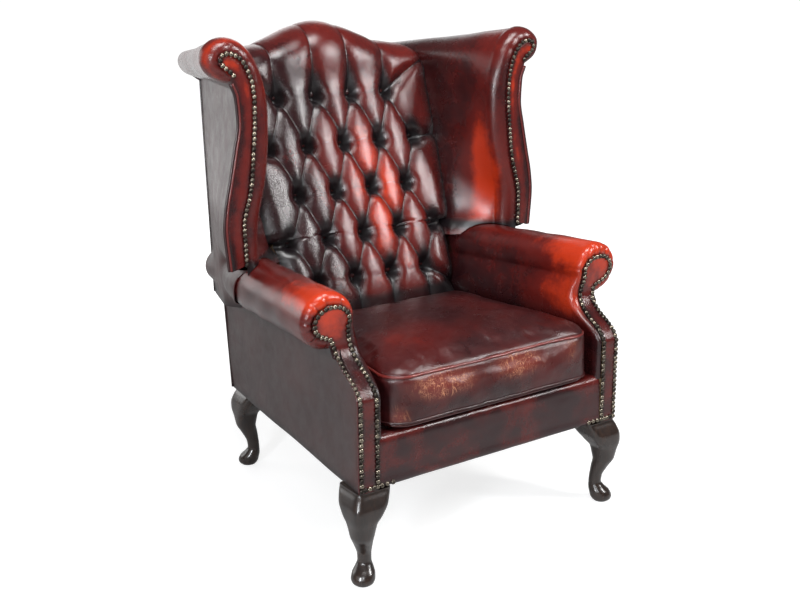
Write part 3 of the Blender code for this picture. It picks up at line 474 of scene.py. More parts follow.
def wood(name, low, high, scale=9.0, rough=(0.26, 0.42), coat=0.4, axis=2):
    g = Graph(name)
    co = g.coords()
    stretch = [42.0, 42.0, 42.0]
    stretch[axis] = 5.0
    grainy = g.put("Mapping", Vector=co, Scale=tuple(stretch)).outputs[0]
    fibre = g.noise(grainy, 2.4, 6.0, 0.65, 1.2)
    fine = g.noise(g.put("Mapping", Vector=co, Scale=tuple(10 * s for s in stretch)).outputs[0], 1.5, 3.0, 0.6)
    cloud = g.noise(co, scale, 4.0, 0.6)
    f = g.math("ADD", g.math("MULTIPLY", fibre, 0.7), g.math("MULTIPLY", fine, 0.3))
    colour = g.mix(g.ramp(f, 0.30, 0.70), low, high)
    colour = g.mix(g.ramp(cloud, 0.35, 0.75, 0.0, 0.55), colour, tuple(0.45 * c for c in low))
    g.set(Base_Color=colour, Roughness=g.ramp(cloud, 0.2, 0.8, rough[0], rough[1]), Coat_Weight=coat, Coat_Roughness=0.18,
          Normal=g.bump(f, 0.12, 0.0006))
    return g.m


def woven(name, low, high, thread=900.0, rough=0.85):
    g = Graph(name)
    co = g.coords()
    a = g.put("TexWave", Vector=co, Scale=thread / 6.3, Distortion=0.4, Detail=1.0)
    b = g.put("TexWave", Vector=co, Scale=thread / 6.3, Distortion=0.4, Detail=1.0, bands_direction="Y")
    weave = g.math("MULTIPLY", a.outputs["Fac"], b.outputs["Fac"])
    colour = g.mix(g.ramp(g.math("ADD", weave, g.math("MULTIPLY", g.noise(co, 30.0), 0.5)), 0.1, 1.0), low, high)
    g.set(Base_Color=colour, Roughness=rough, Normal=g.bump(weave, 0.5, 0.0006))
    return g.m


def foam():
    g = Graph("foam_open_cell")
    co = g.coords()
    cells = g.put("TexVoronoi", Vector=co, Scale=450.0).outputs["Distance"]
    colour = g.mix(g.ramp(g.math("ADD", cells, g.math("MULTIPLY", g.noise(co, 12.0), 0.5)), 0.2, 0.9), (0.42, 0.33, 0.15), (0.70, 0.62, 0.40))
    g.set(Base_Color=colour, Roughness=0.95, Normal=g.bump(cells, 0.6, 0.0008))
    return g.m


def steel():
    g = Graph("zinc_plated_steel")
    co = g.coords()
    n = g.noise(co, 90.0, 5.0, 0.65)
    g.set(Base_Color=g.mix(g.ramp(n, 0.3, 0.7), (0.42, 0.42, 0.40), (0.62, 0.62, 0.58)), Roughness=g.ramp(n, 0.2, 0.8, 0.28, 0.5), Metallic=1.0)
    return g.m


nail_metal = bronze()
leg_wood = wood("stained_leg_wood", (0.0075, 0.0048, 0.0042), (0.034, 0.017, 0.011), rough=(0.20, 0.36), coat=0.5)
beech = wood("beech_frame_wood", (0.36, 0.22, 0.11), (0.58, 0.41, 0.24), rough=(0.5, 0.7), coat=0.0, axis=0)
ply = wood("plywood_panel_wood", (0.42, 0.27, 0.14), (0.64, 0.47, 0.28), rough=(0.5, 0.7), coat=0.0, axis=2)
web_cloth = woven("elastic_web", (0.03, 0.025, 0.02), (0.20, 0.16, 0.11), 700.0)
deck_cloth = woven("platform_lining", (0.02, 0.006, 0.006), (0.09, 0.02, 0.02))
dust_cloth = woven("black_dust_cloth", (0.006, 0.006, 0.006), (0.035, 0.035, 0.035), 1400.0, 0.92)
hessian = woven("hessian_weave", (0.20, 0.13, 0.06), (0.52, 0.39, 0.22), 500.0)
foam_mat = foam()
zinc = steel()

for name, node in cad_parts.items():
    look = (leg_wood if name.startswith("leg_") and "bolt" not in name else zinc if "bolt" in name
            else ply if name.startswith("wing_frame") else web_cloth if name == "seat_webbing" else deck_cloth if name == "seat_platform"
            else dust_cloth if name == "dust_cover" else hessian if name == "back_hessian" else foam_mat if "padding" in name or "foam" in name
            else beech if any(w in name for w in ("rail", "post", "block", "stump")) and "cover" not in name else hide)
    node.data.materials.clear()
    node.data.materials.append(look)

rng = np.random.default_rng(7)


def finish_piece(obj, slot, *nodes, padded=None):
    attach(obj, "root")
    if nodes:
        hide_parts(*nodes)
    return obj


# ================================================================ buttoned back
buttons = []
for row, (bz, count) in enumerate(BUTTON_ROWS):
    for i in range(count):
        buttons.append((row, (i - (count - 1) / 2) * BUTTON_PITCH, bz))

ROWS = [[b for b in buttons if b[0] == r] for r in range(5)]
pleats = []  # (x0, z0, x1, z1, kind): z past the crest runs on along the profile
for r in range(4):
    for a in ROWS[r]:
        for b in ROWS[r + 1]:
            if abs(abs(a[1] - b[1]) - BUTTON_PITCH / 2) < 1e-6:
                pleats.append((a[1], a[2], b[1], b[2], "diamond"))
for a in ROWS[0]:
    pleats.append((a[1], a[2], a[1] * 1.10, 1.36, "crest"))
for a in ROWS[4]:
    pleats.append((a[1], a[2], a[1] * 1.03, 0.30, "channel"))
for r in (1, 3):
    for a in (ROWS[r][0], ROWS[r][-1]):
        out = 1 if a[1] > 0 else -1
        pleats.append((a[1], a[2], a[1] + out * 0.11, a[2] + 0.012, "edge"))
for a in (ROWS[0][0], ROWS[0][-1]):
    out = 1 if a[1] > 0 else -1
    pleats.append((a[1], a[2], a[1] + out * 0.15, a[2] + 0.085, "edge"))
for a in (ROWS[4][0], ROWS[4][-1], ROWS[2][0], ROWS[2][-1]):
    out = 1 if a[1] > 0 else -1
    if a[0] == 4:
        pleats.append((a[1], a[2], a[1] + out * 0.10, a[2] - 0.070, "edge"))


def button_field(x, z):
    """Depth behind the crowns of the padding, painted shade and rub at each point of the inside back."""
    total = np.zeros(x.shape)
    crease = np.zeros(x.shape)
    for k, (x0, z0, x1, z1, kind) in enumerate(pleats):
        dx, dz = x1 - x0, z1 - z0
        length = math.hypot(dx, dz)
        bend = 0.0022 * math.sin(2.4 * k + 1)
        t = ((x - x0) * dx + (z - z0) * dz) / length**2
        tc = np.clip(t, 0, 1)
        s = ((x - x0) * dz - (z - z0) * dx) / length + bend * np.sin(PI * tc) * 2
        over = np.maximum(np.abs(t - 0.5) - 0.5, 0) * length
        d = np.sqrt(s**2 + over**2)
        # the upper hide folds over the lower one, so the top side of a pleat is steeper
        above = (-s if dx * dz > 0 else s) * (1 if dz < 0 else -1)
        if kind == "diamond":
            depth = 0.0068 + 0.0185 * np.abs(2 * tc - 1) ** 3.2
            wide = 0.046
            sharp = 1.0
        elif kind == "crest":
            depth = 0.0048 + 0.0205 * np.exp(-tc * length / 0.040)
            wide = 0.047
            sharp = 1.0
        elif kind == "channel":
            depth = 0.0070 + 0.0190 * np.exp(-tc * length / 0.035)
            wide = 0.045
            sharp = 1.0
        else:
            depth = 0.0080 + 0.0170 * np.exp(-tc * length / 0.040)
            wide = 0.036
            sharp = 0.8
        q = np.clip(d / (wide * np.where(above > 0, 0.86, 1.04)), 0, 1)
        cup = (1 - q) ** 2.7
        total += (depth * cup) ** 3.2
        crease = np.maximum(crease, sharp * np.exp(-((d / 0.0016) ** 1.3)) * np.where(np.abs(t - 0.5) < 0.5, 1, 0))
    depth = total ** (1 / 3.2)
    near = np.full(x.shape, 9.0)
    pit = np.zeros(x.shape)
    ray = np.zeros(x.shape)
    shadow = np.zeros(x.shape)
    for k, (row, bx, bz) in enumerate(buttons):
        r = np.hypot(x - bx, z - bz)
        near = np.minimum(near, r)
        ang = np.arctan2(z - bz, x - bx)
        pit = np.maximum(pit, 0.0085 * np.exp(-((r / 0.0165) ** 2)))
        spokes = np.sin(11 * ang + 2.1 * k) + 0.6 * np.sin(17 * ang + 1.3 * k)
        ray += 0.00062 * spokes * np.exp(-((r - 0.015) / 0.013) ** 2)
        up = np.clip((z - bz + 0.004) / 0.050, -1, 1)
        shadow = np.maximum(shadow, np.exp(-((x - bx) / 0.0215) ** 2 - ((z - bz - 0.012) / (0.037 + 0.007 * math.sin(k))) ** 2))
    # short level creases between neighbours of one row
    line = np.zeros(x.shape)
    for r in range(5):
        for a, b in zip(ROWS[r], ROWS[r][1:]):
            mid, zz = (a[1] + b[1]) / 2, a[2] + 0.003 * math.sin(5 * a[1] * 100 + r)
            fade = np.exp(-(((x - mid) / 0.022) ** 4))
            zc = zz + 0.0016 * np.sin((x - mid) * 150 + r)
            line = np.maximum(line, fade * np.exp(-(np.abs(z - zc) / 0.0014)))
    depth = depth + pit + ray + 0.0012 * line
    fine = 0.00030 * noise2(x * 120, z * 60, 5) * smooth01(near / 0.05)
    depth = depth + fine
    # painted shade: darker with depth in the pits and pleats, a painted shadow above each button, dark lines in the
    # creases
    dark = np.clip(0.92 * smooth01((depth - 0.0115) / 0.0150) + 0.98 * shadow + 0.75 * crease + 0.45 * line, 0, 1)
    rub = np.clip(1.0 - depth / 0.0165, 0, 1)
    return depth, dark, rub, crease


def back_profile(s, n_front, n_crest, n_back):
    """Side section of the inside back at the fraction s of its half width: y and z."""
    top = crest_top(s * 0.262) - 0.0008
    y1 = back_y(top) - 0.0050
    z0 = 0.9340
    zf = np.linspace(0.4050, z0, n_front)
    lean_line, upright = pit_y(zf) - PAD_PROUD, 0.0470
    yf = 0.5 * (lean_line + upright + np.sqrt((lean_line - upright) ** 2 + 0.014**2))
    a = np.linspace(PI, 0, n_crest + 1)[1:]
    rise = top - z0
    y0 = pad_front(z0)
    zc = z0 + rise * np.clip(np.sin(a), 0, None) ** 0.7
    yc = 0.5 * (y0 + y1) + 0.5 * (y1 - y0) * np.cos(a)
    back_half_of_roll = a < PI / 2
    zc = np.where(back_half_of_roll, np.maximum(zc, top - 0.0420), zc)
    y = np.concatenate([yf, yc])
    z = np.concatenate([zf, zc])
    return y, z


NX, NF, NC = 241, 226, 78
S = np.linspace(-1, 1, NX)
Yb = np.zeros((NX, NF + NC))
Zb = np.zeros((NX, NF + NC))
for i, s in enumerate(S):
    y, z = back_profile(s, NF, 160, 0)
    # spread the points over the crest by arc length
    yc, zc = y[NF - 1:], z[NF - 1:]
    seg = np.concatenate([[0], np.cumsum(np.hypot(np.diff(yc), np.diff(zc)))])
    want = np.linspace(0, seg[-1], NC + 1)[1:]
    Yb[i, :NF], Zb[i, :NF] = y[:NF], z[:NF]
    Yb[i, NF:], Zb[i, NF:] = np.interp(want, seg, yc), np.interp(want, seg, zc)
weight = np.exp(-((np.arange(NF + NC) - NF) / 16.0) ** 2)[None, :]
for _ in range(90):
    for grid_of in (Yb, Zb):
        soft = grid_of.copy()
        soft[:, 1:-1] = 0.25 * grid_of[:, :-2] + 0.5 * grid_of[:, 1:-1] + 0.25 * grid_of[:, 2:]
        grid_of += (soft - grid_of) * weight
for _ in range(3):  # soften the turn into the crest
    Yb[:, 1:-1] = 0.25 * Yb[:, :-2] + 0.5 * Yb[:, 1:-1] + 0.25 * Yb[:, 2:]
    Zb[:, 1:-1] = 0.25 * Zb[:, :-2] + 0.5 * Zb[:, 1:-1] + 0.25 * Zb[:, 2:]
half = back_half(Yb, Zb) - 0.0008
Xb = S[:, None] * half
run = Zb.copy()
for j in range(NF, NF + NC):
    run[:, j] = run[:, j - 1] + np.hypot(Yb[:, j] - Yb[:, j - 1], Zb[:, j] - Zb[:, j - 1])
P = np.stack([Xb, Yb, Zb], axis=-1)
du = np.gradient(P, axis=0)
dv = np.gradient(P, axis=1)
N = np.cross(du, dv)
N /= np.linalg.norm(N, axis=-1, keepdims=True)
inward = N if N[NX // 2, NF // 2, 1] > 0 else -N
depth, dark, rub, crease = button_field(Xb, run)
for _ in range(5):
    depth[1:-1] = 0.25 * depth[:-2] + 0.5 * depth[1:-1] + 0.25 * depth[2:]
    depth[:, 1:-1] = 0.25 * depth[:, :-2] + 0.5 * depth[:, 1:-1] + 0.25 * depth[:, 2:]
depth = depth + 0.0018 * crease
# the pad turns down into its joint with the wings
edge = (1 - np.abs(S))[:, None] * half
turned_down = np.clip(1 - edge / 0.050, 0, 1) ** 2
depth = depth + 0.020 * turned_down * smooth01((run - 0.40) / 0.05)
# puckers along the joint
depth = depth + 0.0007 * np.sin(run * 260 + 3 * np.sin(run * 31)) * np.exp(-edge / 0.018)
over_top = smooth01((run - 1.04) / 0.08)
depth = depth * (1 - 0.55 * over_top)
P = P + inward * depth[..., None]
# painted shade: dark along the joint with the wings and down into the crevice above the cushion, less over the top
dark = np.clip(dark * (1 - 0.35 * over_top) + 0.9 * np.clip(1 - edge / 0.016, 0, 1) ** 1.2 + 0.55 * np.exp(-((edge / 0.042) ** 2)) * (1 - 0.6 * over_top)
               + 0.65 * smooth01((0.470 - run) / 0.030), 0, 1)
# worn red in the middle of the back, darker to the left and low down
worn_zone = 0.24 + 0.56 * np.exp(-((Xb - 0.055) / 0.12) ** 2 - ((run - 0.66) / 0.20) ** 2) + 0.26 * np.exp(-((run - 1.08) / 0.08) ** 2) - 0.20 * smooth01((-Xb - 0.02) / 0.12)
tone = np.stack([dark, np.clip(rub * worn_zone + 0.10, 0, 1), np.zeros_like(dark)], axis=-1)
back = grid("buttoned_back", P, hide, tone, flip=True)
finish_piece(back, "oxblood_leather", "back_pad", padded=0.85)

# covered buttons
parts = []
for k, (row, bx, bz) in enumerate(buttons):
    d0, _, _, _ = button_field(np.array([[bx]]), np.array([[bz]]))
    y = float(pad_front(np.array(bz))) + float(d0[0, 0]) * 0.93 - 0.0112
    lean = math.atan(0.41)
    ny, nz = -math.cos(lean), math.sin(lean) * 0.35
    nrm = np.array([0, ny, nz]) / math.hypot(ny, nz)
    v, f = dome((bx, y + 0.004, bz), nrm, r=0.0100, height=0.0062, sides=20, rings=5)
    v = np.array(v)
    rr = np.hypot(v[:, 0] - bx, v[:, 2] - bz)
    parts.append((v, f, np.stack([np.full(len(v), 0.38) + 0.5 * (rr > 0.0085), np.full(len(v), 0.30), np.zeros(len(v))], 1)))
caps = joined("covered_buttons", parts, hide)
finish_piece(caps, "oxblood_leather", "button_row_1", "button_row_2", "button_row_3", "button_row_4", "button_row_5")

# ================================================================ wings
FRONT_N = [(0.366, 0.586), (0.3665, 0.626), (0.366, 0.66), (0.3615, 0.685), (0.355, 0.706), (0.348, 0.73), (0.3415, 0.761), (0.338, 0.791),
           (0.335, 0.821), (0.332, 0.851), (0.330, 0.880), (0.330, 0.909), (0.3315, 0.932), (0.3375, 0.962), (0.347, 0.987), (0.359, 1.006),
           (0.374, 1.0165), (0.389, 1.0205), (0.4025, 1.0175), (0.4095, 1.008), (0.4075, 0.996), (0.3985, 0.987), (0.389, 0.980), (0.3815, 0.972)]
FRONT_S = [(0.3260, 0.586), (0.3270, 0.626), (0.3250, 0.66), (0.3210, 0.685), (0.3150, 0.706), (0.3085, 0.73), (0.3020, 0.761), (0.2975, 0.791),
           (0.2945, 0.821), (0.2925, 0.851), (0.2920, 0.880), (0.2925, 0.909), (0.2955, 0.932), (0.3030, 0.964), (0.3160, 0.997), (0.3330, 1.022),
           (0.3560, 1.041), (0.3850, 1.0480), (0.4130, 1.0410), (0.4320, 1.0230), (0.4355, 1.0020), (0.4230, 0.978), (0.4040, 0.965), (0.3860, 0.958)]
NU_W = 170
front_n = spline(FRONT_N, NU_W)
front_s = np.zeros_like(front_n)
# match the silhouette to the nail line point by point
kn = np.concatenate([[0], np.cumsum(np.linalg.norm(np.diff(np.array(FRONT_N), axis=0), axis=1))])
ks = np.linspace(0, kn[-1], NU_W)
fs = spline(FRONT_S, 600)
fs_len = np.concatenate([[0], np.cumsum(np.linalg.norm(np.diff(fs, axis=0), axis=1))])
raw = np.array(FRONT_S)
at = [fs_len[np.argmin(np.linalg.norm(fs - p, axis=1))] for p in raw]
wl = np.interp(ks, kn, at)
front_s = np.stack([np.interp(wl, fs_len, fs[:, k]) for k in range(2)], axis=1)

# the same line at the back of the scroll, relative to the inner and the outer skin
BACK_IN = [(0.0, 0.0), (0.004, 0.020), (0.009, 0.038), (0.0185, 0.055), (0.033, 0.068)]
BACK_OUT = [(0.026, 0.073), (0.042, 0.069), (0.052, 0.059), (0.055, 0.046), (0.049, 0.030), (0.036, 0.019), (0.020, 0.013)]
i_top = 12  # index in FRONT_S of z = WING_TOP
y_end = float(back_y(0.96)) - 0.0045
x_in_back = float(back_half(np.array(y_end), np.array(WING_TOP))) + 0.0016
x_out_back = float(wing_outer(y_end, WING_TOP))
back_curve = [(x_in_back + a, WING_TOP + b) for a, b in BACK_IN] + [(x_out_back + a, WING_TOP + b) for a, b in BACK_OUT]
bc = spline(back_curve, 400)
bl = np.linspace(0, 1, 400)
u_top = np.interp(kn[i_top], ks, np.arange(NU_W))
NV_W = 108
NR = 26  # points over the front roll
ys = WING_Y + 0.030 + (y_end - WING_Y - 0.030) * np.linspace(0, 1, NV_W - NR + 1)[1:]
plain_n = front_n.copy()
for side, tag in ((-1, "left"), (1, "right")):
    front_n = plain_n.copy()
    if side < 0:
        front_n[:, 0] += 0.0042 * smooth01((front_n[:, 1] - 0.62) / 0.08) * np.clip((u_top + 8 - np.arange(NU_W)) / 24, 0, 1)
    P = np.zeros((NU_W, NV_W, 3))
    tone = np.zeros((NU_W, NV_W, 3))
    arc = ks / ks[-1]
    for i in range(NU_W):
        n_pt, s_pt = front_n[i], front_s[i]
        a = np.linspace(0, PI / 2, NR)
        roll_d = 0.0325
        P[i, :NR, 0] = n_pt[0] + (s_pt[0] - n_pt[0]) * np.sin(a)
        P[i, :NR, 2] = n_pt[1] + (s_pt[1] - n_pt[1]) * np.sin(a)
        P[i, :NR, 1] = WING_Y - 0.0012 - 0.0035 * np.sin(2 * a) ** 1.0 * 0.8 + roll_d * (1 - np.cos(a))
        f = (ys - (WING_Y + 0.030)) / (y_end - WING_Y - 0.030)
        if i <= u_top:
            z = s_pt[1]
            join = float(pad_front(np.array(z)))
            g = np.clip((ys - 0.033) / max(join - 0.033, 0.02), 0, 1)
            x_join = float(back_half(np.array(join), np.array(z))) + 0.0010
            past = np.maximum(ys - join, 0)
            x = s_pt[0] + (x_join - s_pt[0]) * g - 0.28 * past
            # keep the run into the roll smooth
            x = x + 0.0030 * np.sin(PI * g) * (z > 0.62)
            P[i, NR:, 0], P[i, NR:, 2] = x, z
        else:
            t = (i - u_top) / (NU_W - 1 - u_top)
            target = np.array([np.interp(t, bl, bc[:, 0]), np.interp(t, bl, bc[:, 1])])
            join = float(pad_front(np.array(WING_TOP)))
            g = np.clip((ys - 0.033) / (y_end - 0.033), 0, 1)
            # near the inner side the line follows the pad's edge first
            x_line = s_pt[0] + (target[0] - s_pt[0]) * g
            x_join = float(back_half(np.array(join), np.array(WING_TOP))) + 0.0010
            gj = np.clip((ys - 0.033) / (join - 0.033), 0, 1)
            x_pad = s_pt[0] + (x_join - front_s[int(u_top)][0]) * gj - 0.28 * np.maximum(ys - join, 0)
            w = max(0.0, 1 - t / 0.30)
            w = w * w * (3 - 2 * w)
            P[i, NR:, 0] = x_line * (1 - w) + x_pad * w
            P[i, NR:, 2] = s_pt[1] + (target[1] - s_pt[1]) * g
        P[i, NR:, 1] = ys
        # ends of the scroll follow the rake of the back
        P[i, NR:, 1] += f**2 * BACK_RAKE * (P[i, -1, 2] - 0.96)
    for _ in range(14):  # blend the upright part into the scroll
        P[1:-1, NR:] = 0.25 * P[:-2, NR:] + 0.5 * P[1:-1, NR:] + 0.25 * P[2:, NR:]
    # the foot of the wing rests along the top of the arm
    for j in range(NV_W):
        for i in range(NU_W):
            z = P[i, j, 2]
            if i > u_top or z > 0.640:
                continue
            y = max(P[i, j, 1], 0.0)
            cx, cz = float(side_x(y)) + ROLL_U, ROLL_Z + float(roll_dz(y))
            dx = min(abs(P[i, j, 0] - cx), 0.050)
            foot = min(cz + math.sqrt(ROLL_R**2 - dx**2) + 0.0010, 0.5855)
            P[i, j, 2] = 0.640 - (0.640 - z) * (0.640 - foot) / (0.640 - 0.586)
    du = np.gradient(P, axis=0)
    dv = np.gradient(P, axis=1)
    N = np.cross(du, dv)
    N /= np.linalg.norm(N, axis=-1, keepdims=True) + 1e-12
    if N[NU_W // 3, NV_W // 2, 0] > 0:
        N = -N  # outwards, into the seat side
    A = arc[:, None] * ks[-1]
    V = np.concatenate([np.linspace(0, 0.05, NR), 0.05 + ys - ys[0]])[None, :]
    # gathers where the hide turns round the scroll
    gather = smooth01((A - (kn[i_top] + 0.02)) / 0.05) * np.exp(-((V - 0.012) / 0.020) ** 2)
    g_wave = np.abs(np.sin(A * 130 + 0.8 * np.sin(A * 40) + 9 * V)) ** 0.6
    disp = -0.0016 * gather * (1 - g_wave)
    disp = disp + 0.0009 * noise2(A * 18 + 0 * V, V * 14 + 0 * A, 11 + side) * smooth01(V / 0.05)
    # long soft pulls across the wing
    disp = disp + 0.0007 * np.sin(A * 22 + V * 30 + side) * smooth01((V - 0.08) / 0.1)
    P = P + N * disp[..., None]
    lit = np.exp(-((V - 0.040) / 0.022) ** 2)
    zz = P[..., 2]
    if side > 0:
        rub = 0.26 + (0.22 + 0.24 * smooth01((0.90 - zz) / 0.08)) * np.exp(-((V - 0.070) / 0.035) ** 2) + 0.36 * np.exp(-((zz - 0.70) / 0.12) ** 2) * np.exp(-((V - 0.055) / 0.05) ** 2) + 0.10 * smooth01((zz - 0.95) / 0.05)
        shade = 0.50 * smooth01((V - 0.10) / 0.13) + 0.35 * np.exp(-V / 0.006) + 0.25 * gather * (1 - g_wave)
    else:
        rub = 0.36 + 0.26 * np.exp(-((V - 0.032) / 0.014) ** 2) + 0.08 * smooth01((zz - 0.96) / 0.05)
        shade = 0.35 * smooth01((V - 0.06) / 0.10) + 0.45 * np.exp(-V / 0.006) + 0.3 * gather * (1 - g_wave)
    shade = shade + 0.85 * np.exp(-((zz - 0.578) / 0.016) ** 2)
    tone[..., 0], tone[..., 1] = shade, rub
    pad = grid("wing_inside_" + tag, mirrored(P, side), hide, tone, flip=side > 0)
    finish_piece(pad, "oxblood_leather_rubbed", "wing_pad_" + tag, padded=0.9)
    ring_b = P[int(u_top) - 6:, -1]
    mid_b = ring_b.mean(axis=0)
    cap_v, cap_t = [], []
    for k in range(6):
        r = 1 - k / 5 * 0.96
        rowp = mid_b + (ring_b - mid_b) * r
        rowp[:, 1] += 0.0030 * (1 - r**3)
        cap_v.append(rowp)
        cap_t.append(np.tile([0.45 * r**4 + 0.15, 0.40, 0.0], (len(rowp), 1)))
    m = len(ring_b)
    cap_f = [(k * m + i, k * m + (i + 1) % m, (k + 1) * m + (i + 1) % m, (k + 1) * m + i) for k in range(5) for i in range(m)] + [tuple(5 * m + i for i in range(m))]
    cap = joined("wing_scroll_end_" + tag, [(mirrored(np.concatenate(cap_v), side), cap_f, np.concatenate(cap_t))], hide)
    finish_piece(cap, "oxblood_leather_rubbed")
    wing_edge = P[:, 0].copy()

    # ---- nailed facing with the end of the scroll, one sheet between the nails and the seam
    cols = np.linspace(0, 1, 17)
    seam_pts = []
    for i in range(NU_W):
        if i <= u_top:
            z = front_n[i, 1] - 0.0115 * max(0.0, 1 - (front_n[i, 1] - 0.586) / 0.05)
            seam_pts.append((float(along(WING_SEAM, z)), z))
        else:
            t = min(1.0, (i - u_top) / (NU_W - 1 - u_top) / 0.42)
            z = WING_TOP + 0.0385 * t
            seam_pts.append((float(along(WING_SEAM, z)), z))
    seam_pts = np.array(seam_pts)
    for _ in range(10):
        seam_pts[1:-1] = 0.25 * seam_pts[:-2] + 0.5 * seam_pts[1:-1] + 0.25 * seam_pts[2:]
    F = np.zeros((NU_W, len(cols), 3))
    F[..., 0] = front_n[:, None, 0] + (seam_pts[:, None, 0] - front_n[:, None, 0]) * cols[None, :]
    F[..., 2] = front_n[:, None, 1] + (seam_pts[:, None, 1] - front_n[:, None, 1]) * cols[None, :]
    F[..., 1] = WING_Y - 0.0012 - 0.0026 * (1 - np.abs(2 * cols[None, :] - 1) ** 4)
    ft = np.zeros(F.shape)
    red_top = smooth01((F[..., 2] - 0.84) / 0.10)
    ft[..., 1] = 0.26 + 0.30 * np.exp(-((cols[None, :] - 0.45) / 0.22) ** 2) + 0.14 * red_top + 0.16 * noise2(F[..., 2] * 40, F[..., 0] * 60, 15 + side)
    # painted shade: the facing darkens towards its seam edge, at the nail line and near its foot on the arm
    ft[..., 0] = 0.42 * smooth01((cols[None, :] - 0.62) / 0.3) + 0.45 * np.exp(-cols[None, :] / 0.05) + 0.35 * smooth01((0.64 - F[..., 2]) / 0.06)
    facing = grid("wing_front_facing_" + tag, mirrored(F, side), hide, ft, flip=side < 0)
    finish_piece(facing, "oxblood_leather_rubbed", "wing_facing_" + tag)

    # ---- nails along the edge and round the scroll
    inset = []
    for i in range(NU_W):
        t = front_n[min(i + 1, NU_W - 1)] - front_n[max(i - 1, 0)]
        t /= np.linalg.norm(t)
        inset.append(front_n[i] + np.array([t[1], -t[0]]) * 0.0030)
    path = np.array([(x, WING_Y - 0.0062, z) for x, z in inset])
    path = mirrored(path, side)
    normals = np.tile([0.0, -1.0, 0.0], (len(path), 1))
    finish_piece(joined("wing_nails_" + tag, nail_row(path, normals, rng), nail_metal), "zinc_steel")

    # ---- outside panel with its turned edge, piped seam along the front
    tz = np.linspace(0, 1, 96)
    cs = np.linspace(0, 1, 64)
    FRONT_EDGE = ((0.4400, 0.160), (0.4640, 0.128), (0.4750, 0.105), (0.4900, 0.078), (0.5100, 0.058), (0.5300, 0.052), (0.5450, 0.046), (0.5600, 0.030), (0.5750, WING_Y - 0.001), (0.60, WING_Y - 0.001))
    Q = np.zeros((len(tz), len(cs), 3))
    for i, t in enumerate(tz):
        top_z = WING_TOP + 0.012
        for j, c in enumerate(cs):
            y, z = 0.05, 0.44 + (top_z - 0.44) * t
            for _ in range(4):
                y0 = float(along(FRONT_EDGE, z))
                y1 = float(back_y(z)) - 0.0040
                y = y0 + (y1 - y0) * c
                low = float(roll_line(y)) + 0.0022
                z = low + (top_z - low) * t
            x = float(wing_outer(y, min(z, WING_TOP))) - 0.0004
            r, reach, drop = roll_shape(y)
            cz = ROLL_Z + float(roll_dz(y)) + drop
            over = float(side_x(y)) + reach + math.sqrt(max(r * r - (z - cz) ** 2, 0.0)) + 0.0016 if abs(z - cz) < r else -1.0
            flat = x if z > 0.585 else x - 0.10 * float(smooth01((0.585 - z) / 0.03)) * float(smooth01((0.22 - y) / 0.16))
            k = 0.010
            h = max(k - abs(flat - over), 0.0) / k
            x = max(flat, over) + h * h * k * 0.25
            x = max(x, float(side_x(y)) + 0.0006)
            Q[i, j] = (x, y, z)
    puff = 0.0022 * np.sin(PI * cs)[None, :] ** 0.7 * np.sin(PI * tz)[:, None] ** 0.6
    Q[..., 0] += puff - 0.0040 * np.clip(1 - cs / 0.02, 0, 1)[None, :] ** 2 * (Q[..., 2] > 0.58)
    for _ in range(4):
        Q[1:-1, 1:-1] = 0.2 * (Q[1:-1, 1:-1] + Q[:-2, 1:-1] + Q[2:, 1:-1] + Q[1:-1, :-2] + Q[1:-1, 2:])
    # the top of the panel is tucked up under the scroll
    end_y, end_x, end_z = P[-1, :, 1], P[-1, :, 0], P[-1, :, 2]
    tuck = np.stack([np.interp(Q[-1, :, 1], end_y, end_x) - 0.0030, Q[-1, :, 1], np.interp(Q[-1, :, 1], end_y, end_z) + 0.0040], 1)
    more = np.stack([Q[-1] + (tuck - Q[-1]) * k / 4 for k in range(1, 5)])
    Q = np.concatenate([Q, more])
    qt = np.zeros(Q.shape)
    Q[..., 0] += 0.0006 * noise2(Q[..., 1] * 16, Q[..., 2] * 9, 21 + side)
    qt[..., 1] = 0.28 + 0.35 * np.exp(-cs / 0.03)[None, :] * (Q[..., 2] > 0.6)
    # painted shadow: dark band along the bottom where the panel turns in under the arm roll; darker too along its lower
    # front edge
    qt[..., 0] = 0.20 + 0.4 * np.exp(-((Q[..., 2] - 0.445) / 0.02) ** 2) + 0.25 * np.exp(-cs / 0.03)[None, :] * (Q[..., 2] < 0.6)
    panel = grid("wing_outside_panel_" + tag, mirrored(Q, side), hide_outer, qt, flip=side < 0)
    finish_piece(panel, "oxblood_leather", "wing_outside_" + tag)
    lo = int(np.argmax(tz > 0.36))
    slab_out, slab_in = Q[lo:-8:3, 2:-3:3].copy(), Q[lo:-8:3, 2:-3:3].copy()
    slab_out[..., 0] -= 0.0050
    slab_in[..., 0] -= 0.0150
    slab_out[..., 1] += 0.004
    slab_in[..., 1] += 0.004
    a, b = slab_out.shape[:2]
    fa = [tuple(f) for f in grid_faces(a, b, flip=True)] + [tuple(f) for f in grid_faces(a, b, start=a * b)]
    rim_ids = [(i, 0) for i in range(a)] + [(a - 1, j) for j in range(1, b)] + [(i, b - 1) for i in range(a - 2, -1, -1)] + [(0, j) for j in range(b - 2, 0, -1)]
    ids = [i * b + j for i, j in rim_ids]
    for p0, p1 in zip(ids, ids[1:] + ids[:1]):
        fa.append((p0, p1, p1 + a * b, p0 + a * b))
    slab = make("wing_frame_panel_" + tag, mirrored(np.concatenate([slab_out.reshape(-1, 3), slab_in.reshape(-1, 3)]), side), fa, ply, smooth=False)
    finish_piece(slab, "plywood_panel", "wing_frame_" + tag)
    zs_p = np.linspace(0.576, 0.958, 90)
    seam = np.stack([along(WING_SEAM, zs_p) + 0.0002, np.full(90, WING_Y - 0.0020), zs_p], 1)
    v1, f1 = tube(mirrored(seam, side), 0.0026, 8)
    rim = np.stack([along(WING_SEAM, zs_p) + 0.0045, np.full(90, WING_Y + 0.0004), zs_p], 1)
    v2, f2 = tube(mirrored(rim, side), 0.0034, 8)
    v3, f3 = tube(mirrored(Q[:20, 0] + np.array([0.0004, 0.0, 0.0]), side), 0.0016, 8)
